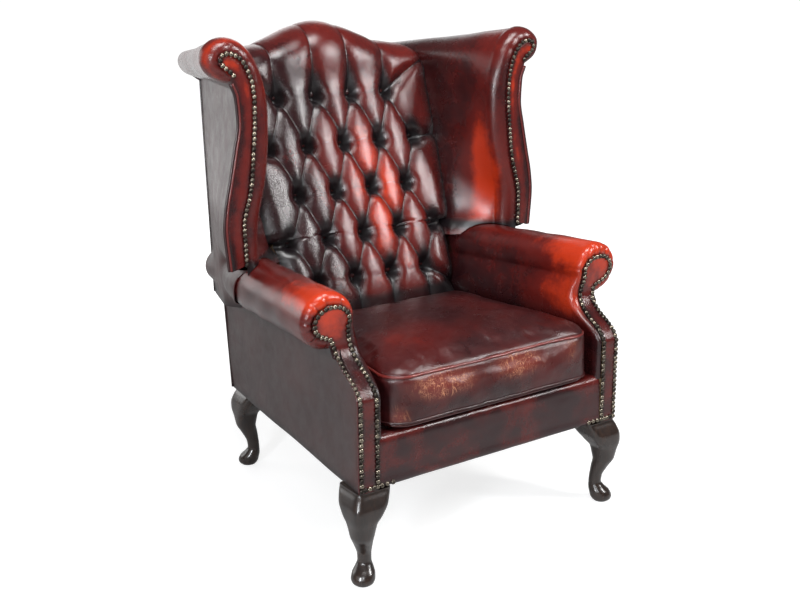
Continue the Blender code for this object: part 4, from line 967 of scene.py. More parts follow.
    finish_piece(joined("wing_piping_" + tag, [(v1, f1, (0.25, 0.55, 0)), (v2, f2, (0.60, 0.30, 0)), (v3, f3, (0.5, 0.4, 0))], hide_piping), "oxblood_leather")

# ================================================================ arms


def arm_line(y, n_in, n_roll, inset=0.0):
    """Skin line of an arm at depth y: up the inside, over the roll, down to the outside panel. x and z arrays."""
    u0, dz = side_x(y), roll_dz(y)
    r = ROLL_R - inset
    cx, cz = u0 + ROLL_U, ROLL_Z + dz
    inner = spline([(u0 - ARM_THICK + inset, 0.304), (u0 - ARM_THICK + inset, 0.385), (u0 - ARM_THICK + inset, 0.4300), (u0 - 0.0545 + inset, 0.455 + dz * 0.5), (u0 - 0.0530 + inset + 0.001, 0.4750 + dz),
                    (cx + r * math.cos(math.radians(192)), cz + r * math.sin(math.radians(192)))], n_in)
    a = np.radians(np.linspace(192, -100, n_roll + 1)[1:])
    rollp = np.stack([cx + r * np.cos(a), cz + r * np.sin(a)], 1)
    return np.concatenate([inner, rollp])


N_IN, N_ROLL = 46, 124
NU_A = N_IN + N_ROLL
NR_A = 22


def face_y(z):
    z = np.asarray(z, float)
    mean = sum(along(ARM_FACE, z + k) for k in np.linspace(-0.024, 0.024, 13)) / 13
    k = smooth01((z - 0.425) / 0.02) * smooth01((0.53 - z) / 0.02)
    plain = along(ARM_FACE, z)
    return plain + (np.minimum(mean, plain + 0.0015) - plain) * k


# nail line on the arm's front, matched with the skin line
zi = arm_line(-0.285, N_IN, N_ROLL)
arm_n = np.zeros((NU_A, 2))
for i in range(NU_A):
    if i < N_IN:
        z = zi[i, 1]
        arm_n[i] = (float(np.interp(z, [0.30, 0.44, 0.466, 0.49, 0.52], [0.2975, 0.2975, 0.3000, 0.3030, 0.3050])), z)
    else:
        a = math.radians(192 - 292 * (i - N_IN + 1) / N_ROLL)
        arm_n[i] = (0.3470 + 0.0420 * math.cos(a), 0.5300 + 0.0345 * math.sin(a))
for _ in range(6):
    arm_n[N_IN - 8:N_IN + 8] = 0.25 * arm_n[N_IN - 9:N_IN + 7] + 0.5 * arm_n[N_IN - 8:N_IN + 8] + 0.25 * arm_n[N_IN - 7:N_IN + 9]
ys_a = np.concatenate([np.linspace(0, 1, 96)[1:]])
for side, tag in ((-1, "left"), (1, "right")):
    NV_A = NR_A + len(ys_a)
    P = np.zeros((NU_A, NV_A, 3))
    base_face = face_y(arm_n[:, 1])
    for i in range(NU_A):
        # silhouette of the front roll sits a little behind the face
        y_sil = float(base_face[i]) + 0.0200
        s_pt = arm_line(y_sil, N_IN, N_ROLL)[i]
        n_pt = arm_n[i]
        a = np.linspace(0, PI / 2, NR_A)
        P[i, :NR_A, 0] = n_pt[0] + (s_pt[0] - n_pt[0]) * np.sin(a)
        P[i, :NR_A, 2] = n_pt[1] + (s_pt[1] - n_pt[1]) * np.sin(a)
        P[i, :NR_A, 1] = float(base_face[i]) - 0.0008 - 0.0034 * np.sin(2 * a) + 0.0200 * (1 - np.cos(a))
        P[i, NR_A:, 1] = y_sil + (0.240 - y_sil) * ys_a
    for j in range(NR_A, NV_A):
        # each station has its own depth per line, so it is sampled point by point
        for i in range(NU_A):
            y = P[i, j, 1]
            u0, dz = side_x(y), roll_dz(y)
            if i < N_IN:
                p = zi[i]
                z = p[1] + (roll_dz(y) - roll_dz(-0.285)) * smooth01((p[1] - 0.43) / 0.04)
                x = p[0] - side_x(-0.285) + u0
            else:
                ang = math.radians(192 - 292 * (i - N_IN + 1) / N_ROLL)
                rr, uu, zd = roll_shape(y)
                x, z = u0 + uu + rr * math.cos(ang), ROLL_Z + dz + zd + rr * math.sin(ang)
            P[i, j, 0], P[i, j, 2] = x, z
    du = np.gradient(P, axis=0)
    dv = np.gradient(P, axis=1)
    N = np.cross(du, dv)
    N /= np.linalg.norm(N, axis=-1, keepdims=True) + 1e-12
    if N[N_IN + 40, NV_A // 2, 2] < 0:
        N = -N
    A = np.concatenate([[0], np.cumsum(np.linalg.norm(np.diff(P[:, NR_A + 5], axis=0), axis=1))])[:, None]
    V = np.concatenate([np.linspace(0, 0.028, NR_A), 0.028 + (0.240 + 0.285) * ys_a])[None, :]
    idx = np.arange(NU_A)[:, None]
    on_roll = smooth01((idx - N_IN + 6) / 16.0)
    # gathers that radiate from the nailed facing
    gather = on_roll * np.exp(-((V - 0.010) / 0.017) ** 2)
    phase = A * 2 * PI / 0.0300 + 2.6 * np.sin(A * 31 + side) + 9 * V
    fold = np.abs(np.sin(phase / 2)) ** 0.34
    disp = -0.0034 * gather * (1 - fold)
    long_fold = on_roll * np.exp(-((V - 0.03) / 0.05) ** 2)
    disp = disp - 0.0009 * long_fold * (0.5 + 0.5 * np.sin(A * 150 + V * 25 + side))
    disp = disp + 0.0011 * noise2(A * 26 + 0 * V, V * 12 + 0 * A, 31 + side)
    # slack wrinkles across the roll
    disp = disp + 0.0008 * np.sin(V * 62 + 2.2 * np.sin(A * 30 + 1) + side) * smooth01((V - 0.05) / 0.08) * on_roll
    disp = disp - 0.0012
    P = P + N * disp[..., None]
    inner_pad = (P - N * 0.0040)[::2, ::2]
    padding = grid("arm_padding_form_" + tag, mirrored(inner_pad, side), foam_mat, flip=side < 0)
    finish_piece(padding, "upholstery_foam", "arm_padding_" + tag, padded=0.9)
    zz = P[..., 2]
    top_of_roll = smooth01((zz - 0.528) / 0.045)
    if side < 0:
        drift = V + 0.030 * noise2(A * 13 + 0 * V, V * 9 + 0 * A, 57) + 0.25 * np.clip(0.570 - zz, 0, 0.09)
        rub = 0.28 + 0.48 * top_of_roll * np.exp(-((drift / 0.21) ** 2)) + 0.08 * top_of_roll + 0.22 * on_roll * np.exp(-((drift / 0.070) ** 2))
    else:
        rub = 0.26 + 0.54 * np.exp(-(((V - 0.028) / 0.100) ** 2)) * smooth01((zz - 0.38) / 0.08) + 0.15 * top_of_roll + 0.20 * top_of_roll * np.exp(-((V - 0.03) / 0.10) ** 2)
    shade = 0.50 * np.exp(-V / 0.005) + 0.42 * gather * (1 - fold) + 0.40 * smooth01((0.50 - zz) / 0.07) + 0.30 * smooth01((V - 0.30) / 0.15)
    tone = np.stack([shade, rub + 0 * V, 0 * shade], axis=-1)
    cover = grid("arm_hide_" + tag, mirrored(P, side), hide, tone, flip=side < 0)
    finish_piece(cover, "oxblood_leather_rubbed", "arm_cover_" + tag, padded=0.9)

    # ---- facing: keyhole over the roll, then the pillar
    zf = np.concatenate([np.linspace(BASE_Z + 0.0006, 0.385, 30), np.linspace(0.385, 0.496, 36)[1:], np.linspace(0.496, 0.5645, 34)[1:]])
    cols = np.linspace(0, 1, 17)
    F = np.zeros((len(zf), len(cols), 3))
    for i, z in enumerate(zf):
        if z < 0.455:
            x0, x1 = POST_W[0] + 0.0030, POST_W[1] + 0.0004
        else:
            w = math.sqrt(max(0.0, 1 - ((z - 0.5300) / 0.0350) ** 2)) * 0.0425
            xa, xb = 0.3470 - w, 0.3470 + w
            k = float(smooth01((z - 0.484) / 0.022))
            neck0 = float(np.interp(z, [0.455, 0.466, 0.49, 0.51], [0.2975, 0.3000, 0.3035, 0.3055]))
            neck1 = float(np.interp(z, [0.455, 0.466, 0.480, 0.495], [0.3412, 0.3440, 0.3500, 0.3530]))
            x0 = (min(neck0, xa) if z < 0.53 else xa) - 0.0012 * (1 if z < 0.55 else 0)
            x1 = (max(neck1, xb) if z < 0.53 else xb) + 0.0008 * (1 if z < 0.55 else 0)
        x = x0 + (x1 - x0) * cols
        F[i] = np.stack([x, float(face_y(z)) - 0.0008 - 0.0016 * (1 - (2 * cols - 1) ** 4), np.full(len(cols), z)], 1)
    ft = np.zeros(F.shape)
    ft[..., 1] = np.where(side > 0, 0.38, 0.36) + 0.50 * smooth01((F[..., 2] - 0.47) / 0.05) - 0.36 * np.abs(2 * cols[None, :] - 1) ** 3 + 0.18 * noise2(F[..., 2] * 50, F[..., 0] * 50, 44)
    # painted shade: the crowned facing darkens towards both edges; it is also darker low down
    ft[..., 0] = 0.5 * np.abs(2 * cols[None, :] - 1) ** 6 + 0.22 * smooth01((0.44 - F[..., 2]) / 0.05)
    facing = grid("arm_front_facing_" + tag, mirrored(F, side), hide, ft, flip=side > 0)
    finish_piece(facing, "oxblood_leather_rubbed", "arm_facing_" + tag)

    # ---- nails: up the inner side, round the keyhole, down the outer side, along the bottom
    low_z = BASE_Z + 0.0080
    inner_line = [(0.2995, z) for z in np.linspace(low_z, 0.440, 30)] + [(0.3005, 0.455), (0.3030, 0.472), (0.3062, 0.490)]
    ring = [(0.3470 + 0.0385 * math.cos(a), 0.5295 + 0.0315 * math.sin(a)) for a in np.radians(np.linspace(196, -62, 60))]
    outer_line = [(0.3462, 0.492), (0.3405, 0.476), (0.3375, 0.458)] + [(0.3365, z) for z in np.linspace(0.440, low_z, 30)]
    raw_line = spline(inner_line + ring + outer_line, 500)
    path = np.stack([raw_line[:, 0], face_y(raw_line[:, 1]) - 0.0034, raw_line[:, 1]], 1)
    slope = (face_y(raw_line[:, 1] + 0.002) - face_y(raw_line[:, 1] - 0.002)) / 0.004
    normals = np.stack([0 * slope, -1 + 0 * slope, slope], 1)
    row = nail_row(mirrored(path, side), mirrored(normals, side), rng)
    bottom = np.array([(0.3085, FRONT_Y - 0.0030, low_z), (0.3275, FRONT_Y - 0.0030, low_z)])
    row += nail_row(mirrored(bottom, side), np.tile([0.0, -1.0, 0.0], (2, 1)), rng)
    onto = np.array([(0.2890, FRONT_Y - 0.0026, low_z), (0.2640, FRONT_Y - 0.0026, low_z)])
    row += nail_row(mirrored(onto, side), np.tile([0.0, -1.0, 0.0], (2, 1)), rng)
    finish_piece(joined("arm_nails_" + tag, row, nail_metal), "zinc_steel")

    # ---- outside panel
    ny, nz = 96, 60
    Q = np.zeros((ny, nz, 3))
    for j in range(nz):
        t = j / (nz - 1)
        for i in range(ny):
            f = i / (ny - 1)
            # the front edge follows the arm's face
            z_guess = BASE_Z + 0.0006 + t * 0.262
            y0 = float(face_y(z_guess)) + 0.0006
            y1 = float(back_y(z_guess)) - 0.0022
            y = y0 + (y1 - y0) * f
            z = BASE_Z + 0.0006 + t * (float(roll_line(y)) + 0.0075 - BASE_Z)
            x = float(side_x(y)) + 0.0002 - 0.0030 * math.exp(-f / 0.006) - 0.002 * max(0, (t - 0.97) / 0.03)
            Q[i, j] = (x, y, z)
    Yq, Zq = Q[..., 1], Q[..., 2]
    Q[..., 0] += 0.0009 * noise2(Yq * 11, Zq * 13, 41 + side) - 0.0007 + 0.0008 * np.sin(Yq * 18 + Zq * 30)
    qt = np.zeros(Q.shape)
    qt[..., 1] = 0.22 + 0.35 * np.exp(-(Yq - FRONT_Y) / 0.02)
    # painted shadow: dark band just under the overhanging roll; darker also along the bottom edge
    qt[..., 0] = 0.30 + 0.40 * np.exp(-((Zq - roll_line(Yq)) / 0.02) ** 2) + 0.35 * np.exp(-((Zq - BASE_Z) / 0.012) ** 2)
    panel = grid("arm_outside_panel_" + tag, mirrored(Q, side), hide_outer, qt, flip=side > 0)
    finish_piece(panel, "oxblood_leather", "arm_outside_" + tag)
    # welt along the front edge of the panel and under the roll
    zs_p = np.concatenate([np.linspace(BASE_Z + 0.001, 0.385, 20), np.linspace(0.385, 0.462, 26)[1:]])
    xs_p = np.where(zs_p < 0.44, side_x(face_y(zs_p)) - 0.0006, side_x(face_y(zs_p)) - 0.0006)
    edge_w = np.stack([np.maximum(xs_p, 0.3390), face_y(zs_p) + 0.0010, zs_p], 1)
    v1, f1 = tube(mirrored(edge_w, side), 0.0021, 8)
    yr = np.linspace(-0.288, 0.0, 40)
    under = np.stack([side_x(yr) + 0.0010, yr, roll_line(yr) + 0.0045], 1)
    v2, f2 = tube(mirrored(under, side), 0.0022, 8)
    yb = np.linspace(0.006, 0.350, 40)
    joint = np.stack([side_x(yb) + 0.0008, yb, roll_line(yb) + 0.0012], 1)
    v3, f3 = tube(mirrored(joint, side), 0.0020, 8)
    finish_piece(joined("arm_welt_" + tag, [(v1, f1, (0.45, 0.45, 0)), (v2, f2, (0.35, 0.50, 0)), (v3, f3, (0.5, 0.35, 0))], hide_piping), "oxblood_leather")

# ================================================================ front rail and outside back
nx, width = 150, POST_W[0] - GAP
section = spline([(FRONT_Y + 0.0290, BASE_Z + 0.0006), (FRONT_Y + 0.0060, BASE_Z + 0.0004), (FRONT_Y + 0.0004, BASE_Z + 0.0040), (FRONT_Y - 0.0006, 0.2250), (FRONT_Y - 0.0009, 0.2500), (FRONT_Y - 0.0004, 0.2800),
                  (FRONT_Y + 0.0010, 0.2950), (FRONT_Y + 0.0040, 0.3035), (FRONT_Y + 0.0095, 0.3080), (FRONT_Y + 0.0190, 0.3092), (FRONT_Y + 0.0310, 0.3088)], 70)
xs = np.linspace(-width, width, nx)
P = np.zeros((nx, 70, 3))
P[..., 0] = xs[:, None]
P[..., 1] = section[None, :, 0]
P[..., 2] = section[None, :, 1]
wob = 0.0009 * noise2(P[..., 0] * 30, P[..., 2] * 60, 51)
P[..., 1] += wob * (P[..., 1] < FRONT_Y + 0.01)
edge_x = width - np.abs(P[..., 0])
rail_top = np.exp(-((P[..., 2] - 0.302) / 0.006) ** 2)
tone = np.zeros(P.shape)
tone[..., 1] = 0.24 + 0.26 * rail_top * (0.4 + 0.6 * smooth01((np.abs(P[..., 0]) - 0.10) / 0.12)) + 0.18 * noise2(P[..., 0] * 22, P[..., 2] * 40, 52)
tone[..., 0] = 0.28 * np.exp(-edge_x / 0.006) + 0.25 * np.exp(-((P[..., 2] - BASE_Z) / 0.010) ** 2) + 0.1
tone[..., 2] = 0.22 * np.exp(-((P[..., 0] - 0.10) / 0.05) ** 2)
rail = grid("front_rail_hide", P, hide, tone, flip=True)
finish_piece(rail, "oxblood_leather", "front_rail_cover")

# outside back and lower back
rows_z = np.linspace(0.4385, 1.0, 80)
cs = np.linspace(-1, 1, 91)
P = np.zeros((len(cs), 80, 3))
for i, s in enumerate(cs):
    top = float(crest_top(s * 0.262)) - 0.0350
    z = 0.4385 + (top - 0.4385) * np.linspace(0, 1, 80)
    x = s * (back_corner_x(z) - 0.0010)
    y = back_y(z) - 0.0005 + 0.0020 * (1 - s**2) * np.sin(PI * np.linspace(0, 1, 80)) - 0.0035 * abs(s) ** 24
    P[i] = np.stack([x, y, z], 1)
P[..., 1] += 0.0008 * noise2(P[..., 0] * 9, P[..., 2] * 11, 61)
tone = np.zeros(P.shape)
tone[..., 1] = 0.30
tone[..., 0] = 0.22 + 0.4 * np.abs(cs)[:, None] ** 14
panel = grid("outside_back_panel", P, hide_outer, tone, flip=False)
finish_piece(panel, "oxblood_leather", "outside_back")
lb = float(side_x(0.35)) - 0.0010
P = np.zeros((71, 40, 3))
for j, z in enumerate(np.linspace(BASE_Z + 0.0006, 0.4325, 40)):
    P[:, j, 0] = np.linspace(-lb, lb, 71)
    P[:, j, 1] = back_y(z) - 0.0006
    P[:, j, 2] = z
P[..., 1] += 0.0007 * noise2(P[..., 0] * 9, P[..., 2] * 11, 62) - 0.0030 * (np.abs(P[..., 0]) / lb) ** 30
tone = np.zeros(P.shape)
tone[..., 1] = 0.28
tone[..., 0] = 0.25
panel = grid("lower_back_panel", P, hide_outer, tone, flip=False)
finish_piece(panel, "oxblood_leather", "lower_back_cover")
parts = []
for sgn in (-1, 1):
    zp = np.linspace(0.440, 1.0, 60)
    pts = np.stack([sgn * (back_corner_x(zp) + 0.0002), back_y(zp) - 0.0030, zp], 1)
    v, f = tube(pts, 0.0026, 8)
    parts.append((v, f, (0.6, 0.2, 0)))
    zp = np.linspace(BASE_Z + 0.001, 0.433, 30)
    pts = np.stack([sgn * (side_x(back_y(zp)) - 0.0004), back_y(zp) - 0.0022, zp], 1)
    v, f = tube(pts, 0.0024, 8)
    parts.append((v, f, (0.6, 0.2, 0)))
sx = np.linspace(-1, 1, 80)
tz = crest_top(sx * 0.262) - 0.0350
pts = np.stack([sx * (back_corner_x(tz) - 0.002), back_y(tz) - 0.0022, tz], 1)
v, f = tube(pts, 0.0030, 8)
parts.append((v, f, (0.6, 0.2, 0)))
pts = np.stack([np.linspace(-0.270, 0.270, 40), np.full(40, float(back_y(0.4358)) - 0.0012), np.full(40, 0.4358)], 1)
v, f = tube(pts, 0.0022, 8)
parts.append((v, f, (0.6, 0.2, 0)))
finish_piece(joined("back_welts", parts, hide_piping), "oxblood_leather")

# ================================================================ seat cushion
CY = -0.5 * (0.3840 - 0.0440)


def plan_line(inset, n):
    """Closed outline of the cushion seen from above: wider at the front, front corners rounder. Starts at the middle of the right side."""
    x0, x1, y0, y1 = 0.2740 - inset, 0.2270 - inset, -0.3840 + inset, 0.0440 - inset
    ym = (y0 + y1) / 2

    def arc(corner, before, after, r):
        a, b = np.subtract(before, corner), np.subtract(after, corner)
        a, b = a / np.linalg.norm(a), b / np.linalg.norm(b)
        half = math.acos(float(np.clip(np.dot(a, b), -1, 1))) / 2
        mid = (a + b) / np.linalg.norm(a + b)
        centre = np.array(corner) + mid * r / math.sin(half)
        s0 = np.array(corner) + a * r / math.tan(half) - centre
        s1 = np.array(corner) + b * r / math.tan(half) - centre
        a0, a1 = math.atan2(s0[1], s0[0]), math.atan2(s1[1], s1[0])
        turn_by = (a1 - a0 + PI) % (2 * PI) - PI
        return [tuple(centre + r * np.array([math.cos(a0 + turn_by * t), math.sin(a0 + turn_by * t)])) for t in np.linspace(0, 1, 16)]

    fr, br, bl, fl = (x0, y0), (x1, y1), (-x1, y1), (-x0, y0)
    rf, rb = max(0.050 - inset * 0.25, 0.012), max(0.0200 - inset * 0.1, 0.008)
    start_pt = ((x0 + x1) / 2, ym)
    line = [start_pt] + arc(br, fr, bl, rb) + arc(bl, br, fl, rb) + arc(fl, bl, fr, rf) + arc(fr, fl, br, rf) + [start_pt]
    line = np.array(line)
    # spread the points evenly along the outline
    seg = np.concatenate([[0], np.cumsum(np.linalg.norm(np.diff(line, axis=0), axis=1))])
    want = np.linspace(0, seg[-1], n + 1)[:-1]
    return np.stack([np.interp(want, seg, line[:, k]) for k in range(2)], 1)


CUSH_Z0, CUSH_Z1 = 0.3155, 0.4150   # lower and upper seam
na, nsec = 220, 56
sect = [(0.2000, 0.3128), (0.1500, 0.3126), (0.1000, 0.3126), (0.0500, 0.3128), (0.0200, 0.3132), (0.0080, 0.3140), (0.0025, 0.3165)]
for t in np.linspace(0, 1, 14):
    sect.append((0.0008 - 0.0006 * math.sin(PI * t), 0.3200 + (0.4110 - 0.3200) * t))
sect += [(0.0020, 0.4165), (0.0060, 0.4225), (0.0120, 0.4275), (0.0200, 0.4318), (0.0300, 0.4354), (0.0450, 0.4396), (0.0700, 0.4450), (0.1000, 0.4495), (0.1500, 0.4542), (0.1900, 0.4556), (0.2080, 0.4558)]
V = []
for inset, z in sect:
    ring_pts = plan_line(inset, na)
    V.append(np.stack([ring_pts[:, 0], ring_pts[:, 1], np.full(na, z)], 1))
V = np.array(V)
faces = []
for k in range(len(sect) - 1):
    for i in range(na):
        j = (i + 1) % na
        faces.append((k * na + i, k * na + j, (k + 1) * na + j, (k + 1) * na + i))
faces.append(tuple(reversed(range(na))))
faces.append(tuple(range((len(sect) - 1) * na, len(sect) * na)))
cushion = make("seat_cushion_hide", V.reshape(-1, 3), faces, hide_seat)
bpy.context.view_layer.objects.active = cushion
remesh = cushion.modifiers.new("even", "REMESH")
remesh.mode, remesh.voxel_size, remesh.use_smooth_shade = "VOXEL", 0.0055, True
dg = bpy.context.evaluated_depsgraph_get()
even = bpy.data.meshes.new_from_object(cushion.evaluated_get(dg))
cushion.modifiers.clear()
old = cushion.data
cushion.data = even
bpy.data.meshes.remove(old)
start = np.zeros(len(even.vertices) * 3)
even.vertices.foreach_get("co", start)
start = start.reshape(-1, 3)
pin = cushion.vertex_groups.new(name="pin")
# the resting underside holds; the panels above it swell
dz_top = np.abs(start[:, 2] - CUSH_Z1)
rest = start[:, 2] < CUSH_Z0 + 0.004
for i in np.nonzero(rest)[0]:
    pin.add([int(i)], 1.0, "REPLACE")
cloth = cushion.modifiers.new("cloth", "CLOTH")
cs_ = cloth.settings
cs_.quality = 5
cs_.mass = 0.35
cs_.tension_stiffness = cs_.compression_stiffness = 22.0
cs_.shear_stiffness = 12.0
cs_.bending_stiffness = 3.0
cs_.use_pressure = True
cs_.uniform_pressure_force = 3.0
cs_.vertex_group_mass = "pin"
cs_.effector_weights.gravity = 0.0
cloth.collision_settings.use_collision = False
cloth.point_cache.frame_start, cloth.point_cache.frame_end = 1, 18
for fr in range(1, 17):
    bpy.context.scene.frame_set(fr)
dg = bpy.context.evaluated_depsgraph_get()
moved = bpy.data.meshes.new_from_object(cushion.evaluated_get(dg))
end = np.zeros(len(moved.vertices) * 3)
moved.vertices.foreach_get("co", end)
end = end.reshape(-1, 3)
bpy.data.meshes.remove(moved)
cushion.modifiers.clear()
cushion.vertex_groups.clear()
bpy.context.scene.frame_set(1)
move = end - start
far = np.linalg.norm(move, axis=1, keepdims=True)
cap = 0.0060
move = move * (cap * np.tanh(far / cap) / np.maximum(far, 1e-9))
core_mesh = even.copy()
core_no = np.zeros(len(core_mesh.vertices) * 3)
core_mesh.vertices.foreach_get("normal", core_no)
core_mesh.vertices.foreach_set("co", (start + move - 0.0060 * core_no.reshape(-1, 3)).ravel())
core_mesh.materials.clear()
core_mesh.materials.append(foam_mat)
core_mesh.shade_smooth()
core = bpy.data.objects.new("cushion_core", core_mesh)
bpy.context.scene.collection.objects.link(core)
finish_piece(core, "upholstery_foam", "cushion_foam", padded=0.8)
sub = cushion.modifiers.new("sub", "SUBSURF")
even.vertices.foreach_set("co", (start + move).ravel())
sub.levels = sub.render_levels = 1
dg = bpy.context.evaluated_depsgraph_get()
fine = bpy.data.meshes.new_from_object(cushion.evaluated_get(dg))
cushion.modifiers.clear()
cushion.data = fine
bpy.data.meshes.remove(even)
co = np.zeros(len(fine.vertices) * 3)
fine.vertices.foreach_get("co", co)
co = co.reshape(-1, 3)
no = np.zeros(len(fine.vertices) * 3)
fine.vertices.foreach_get("normal", no)
no = no.reshape(-1, 3)
x, y, z = co[:, 0], co[:, 1] + Y_MID, co[:, 2]
topness = smooth01((z - CUSH_Z1 - 0.004) / 0.012)
boxing = (np.abs(no[:, 2]) < 0.6) * 1.0
# distance in from the plan's edge
hx = 0.2740 + (0.2270 - 0.2740) * (y + 0.3840) / 0.4280
in_x, in_front, in_back = hx - np.abs(x), y + 0.3840, 0.0440 - y
inside = np.minimum(np.minimum(in_x, in_front), in_back)
seam_dip = 0.0022 * np.exp(-((z - CUSH_Z1) / 0.0050) ** 2) + 0.0022 * np.exp(-((z - CUSH_Z0 - 0.002) / 0.0050) ** 2)
wr = 0.0013 * noise2(x * 26, y * 26, 71) + 0.0006 * noise2(x * 80, y * 80, 72)
pull = 0.0003 * np.sin(np.hypot(np.abs(x) - 0.245, y + 0.355) * 190 + 2 * np.sin(x * 40)) * np.exp(-(np.hypot(np.abs(x) - 0.235, y + 0.345) / 0.06) ** 2)
cross = 0.0012 * np.sin(x * 75 + 8 * np.sin(y * 14)) * np.exp(-((y + 0.30) / 0.05) ** 2)
side_wr = 0.0016 * noise2(x * 30 + y * 30, z * 55, 73) + 0.0010 * np.sin(x * 60 + z * 45 + 3 * np.sin(x * 17))
disp = topness * (wr + pull + cross) * smooth01(inside / 0.02) + boxing * side_wr * (1 - topness) - seam_dip
co = co + no * disp[:, None]
fine.vertices.foreach_set("co", co.ravel())
tone = np.ones((len(co), 4))
patchy = noise2(x * 9, y * 9, 74)
# painted shade: darker round the rim of the top, towards the back where it runs in under the back, and in the seam dips
tone[:, 0] = 0.10 + 0.42 * np.exp(-inside / 0.010) * topness * 0.4 + 0.22 * np.exp(-in_back / 0.05) + 0.3 * seam_dip / 0.0022
tone[:, 1] = topness * (0.16 + 0.50 * np.exp(-((x + 0.10) / 0.13) ** 2 - ((y + 0.27) / 0.09) ** 2) + 0.34 * np.exp(-((x - 0.12) / 0.10) ** 2 - ((y + 0.10) / 0.07) ** 2) + 0.30 * patchy + 0.25 * np.exp(-in_front / 0.03)) + (1 - topness) * (0.36 + 0.18 * noise2(x * 25, z * 40, 75))
front_face = (1 - topness) * smooth01((0.004 + 0.03 - in_front) / 0.03)
upper = np.exp(-((z - 0.392) / 0.030) ** 2)
cluster = np.exp(-((x + 0.155) / 0.050) ** 2) * upper + 0.40 * np.exp(-((x + 0.090) / 0.030) ** 2) * upper + 0.85 * np.exp(-((x - 0.055) / 0.055) ** 2) * upper + 0.40 * np.exp(-((x - 0.200) / 0.025) ** 2) * upper + 0.22 * upper
corner_rub = 0.9 * np.exp(-((x + 0.255) / 0.030) ** 2 - ((z - 0.330) / 0.030) ** 2)
tone[:, 2] = np.clip(front_face * (cluster + corner_rub) * 0.95, 0, 1)
tone[:, 3] = 1
attr = fine.attributes.new("tone", "FLOAT_COLOR", "POINT") if "tone" not in fine.attributes else fine.attributes["tone"]
attr.data.foreach_set("color", np.clip(tone, 0, 1).ravel())
if not fine.materials:
    fine.materials.append(hide_seat)
fine.shade_smooth()
finish_piece(cushion, "seat_leather_worn", "cushion_cover", padded=0.8)

# piping laid in the seams of the cushion
bm = bmesh.new()
bm.from_mesh(fine)
tree = BVHTree.FromBMesh(bm)
bm.free()
parts = []
outline = plan_line(0.0, 260)
for z0, r, t in ((CUSH_Z1, 0.0033, (0.22, 0.66, 0)), (CUSH_Z0 + 0.0015, 0.0033, (0.45, 0.45, 0)), (CUSH_Z0 + 0.0085, 0.0024, (0.5, 0.35, 0))):
    pts = []
    for a in range(260):
        out = Vector((float(outline[a][0]), float(outline[a][1]) - Y_MID, z0))
        centre = Vector((0, CY - Y_MID, z0))
        d = (out - centre).normalized()
        hit = tree.ray_cast(out + d * 0.05, -d, 0.2)[0]
        p = hit if hit is not None else out
        pts.append((p.x + d.x * 0.0008, p.y + Y_MID + d.y * 0.0008, p.z))
    pts = np.array(pts)
    for _ in range(2):
        pts = 0.25 * np.roll(pts, 1, 0) + 0.5 * pts + 0.25 * np.roll(pts, -1, 0)
    if z0 == CUSH_Z1:
        pts[:, 2] += 0.0012 * np.sin(np.linspace(0, 2 * PI, 260, endpoint=False) * 5 + 1)
    v, f = tube(pts, r, 8, closed=True)
    parts.append((v, f, t))
finish_piece(joined("cushion_piping", parts, hide_piping), "oxblood_leather_rubbed")

# ================================================================ legs
for place, corner in LEG_CORNERS.items():
    sx, sy = (1 if corner[0] > 0 else -1), (1 if corner[1] > 0 else -1)
    zs = np.concatenate([np.linspace(0.1997, 0.13, 30), np.linspace(0.13, 0.04, 34)[1:], np.linspace(0.04, 0.0, 26)[1:]])
    heights = [(row[0], row[1]) for row in LEG][::-1]
    cen = along(heights, zs)
    hal = along([(row[0], row[2]) for row in LEG][::-1], zs)
    pw = along([(row[0], row[3]) for row in LEG][::-1], zs)
    sides = 56
    a = 2 * PI * (np.arange(sides) + 0.5) / sides
    P = np.zeros((len(zs), sides, 3))
    for k in range(len(zs)):
        c, s = np.cos(a), np.sin(a)
        rad = (np.abs(c) ** pw[k] + np.abs(s) ** pw[k]) ** (-1 / pw[k])
        P[k, :, 0] = corner[0] + sx * cen[k] / math.sqrt(2) + hal[k] * rad * c
        P[k, :, 1] = corner[1] + sy * cen[k] / math.sqrt(2) + hal[k] * rad * s
        P[k, :, 2] = zs[k]
    verts = P.reshape(-1, 3)
    faces = []
    for k in range(len(zs) - 1):
        for i in range(sides):
            j = (i + 1) % sides
            faces.append((k * sides + i, (k + 1) * sides + i, (k + 1) * sides + j, k * sides + j))
    faces.append(tuple(range(sides)))
    faces.append(tuple(reversed(range((len(zs) - 1) * sides, len(zs) * sides))))
    leg = make("cabriole_leg_" + place, verts, faces, leg_wood)
    leg.data.set_sharp_from_angle(angle=math.radians(50))
    finish_piece(leg, "leg_wood_dark", "leg_" + place)

# ================================================================ floor, light, world
g = Graph("studio_floor")
co = g.coords()
g.set(Base_Color=g.mix(g.ramp(g.noise(co, 1.2, 2.0), 0.3, 0.7), (0.42, 0.42, 0.42), (0.46, 0.46, 0.46)), Roughness=0.75, Specular_IOR_Level=0.1,
      Emission_Color=(1.0, 1.0, 1.0, 1.0), Emission_Strength=g.math("MULTIPLY", g.ramp(g.put("LightPath").outputs["Is Camera Ray"], 0.0, 1.0, 0.10, 1.0), g.ramp(g.put("VectorMath", operation="LENGTH", i0=co).outputs["Value"], 0.7, 1.9, 0.76, 1.05)))
bm = bmesh.new()
bmesh.ops.create_grid(bm, x_segments=8, y_segments=8, size=14.0)
floor_mesh = bpy.data.meshes.new("studio_floor")
bm.to_mesh(floor_mesh)
bm.free()
floor_mesh.materials.append(g.m)
floor = bpy.data.objects.new("studio_floor", floor_mesh)
floor.location.z = -0.0004
bpy.context.scene.collection.objects.link(floor)

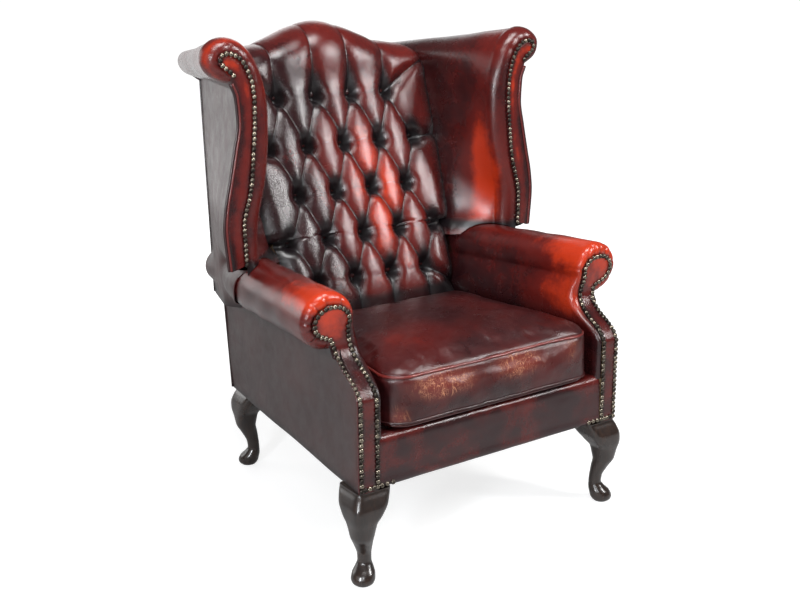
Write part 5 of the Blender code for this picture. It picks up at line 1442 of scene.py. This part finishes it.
world = bpy.data.worlds.new("studio")
bpy.context.scene.world = world
world.use_nodes = True
wt = world.node_tree
bg = wt.nodes["Background"]
path = wt.nodes.new("ShaderNodeLightPath")
blend = wt.nodes.new("ShaderNodeMapRange")
wt.links.new(path.outputs["Is Camera Ray"], blend.inputs["Value"])
blend.inputs["To Min"].default_value = 0.15
blend.inputs["To Max"].default_value = 1.05
wt.links.new(blend.outputs["Result"], bg.inputs["Strength"])
bg.inputs["Color"].default_value = (1.0, 1.0, 1.0, 1.0)


def softbox(name, at, aim, size, power, colour=(1, 1, 1), size_y=None):
    data = bpy.data.lights.new(name, "AREA")
    data.shape = "RECTANGLE"
    data.size, data.size_y = size, size_y or size
    data.energy = power
    data.color = colour
    lamp = bpy.data.objects.new(name, data)
    lamp.location = at
    lamp.rotation_mode = "QUATERNION"
    lamp.rotation_quaternion = (Vector(aim) - Vector(at)).to_track_quat("-Z", "Y")
    bpy.context.scene.collection.objects.link(lamp)
    return lamp


softbox("key_overhead", (-0.3, -0.8, 2.9), (0.0, 0.0, 0.4), 1.3, 62.0, size_y=0.9)
softbox("front_right", (1.65, -2.1, 2.15), (0.0, 0.1, 0.75), 0.27, 62.0, size_y=1.15)
softbox("front_left", (-1.75, -2.5, 1.9), (0.2, 0.0, 0.75), 0.34, 22.0, (0.94, 0.97, 1.0), size_y=1.2)
softbox("left_fill", (-3.0, -0.3, 1.4), (0.0, 0.0, 0.5), 1.4, 6.0, size_y=1.8)
softbox("left_strip", (-2.35, -1.45, 1.22), (0.3, 0.0, 0.90), 0.24, 44.0, (0.93, 0.96, 1.0), size_y=0.8)
softbox("left_back", (-1.9, 2.6, 1.3), (-0.3, 0.0, 0.5), 1.4, 21.0, size_y=1.9)
softbox("backdrop", (0.4, 3.5, 0.95), (-0.1, 0.0, 0.6), 3.4, 18.0, size_y=1.8)
softbox("back_fill", (1.4, 2.8, 2.2), (0.0, 0.0, 0.6), 1.5, 9.0, size_y=1.5)

bpy.context.scene.view_settings.view_transform = "Standard"
bpy.context.scene.view_settings.look = "None"
bpy.context.scene.view_settings.exposure = 0.0
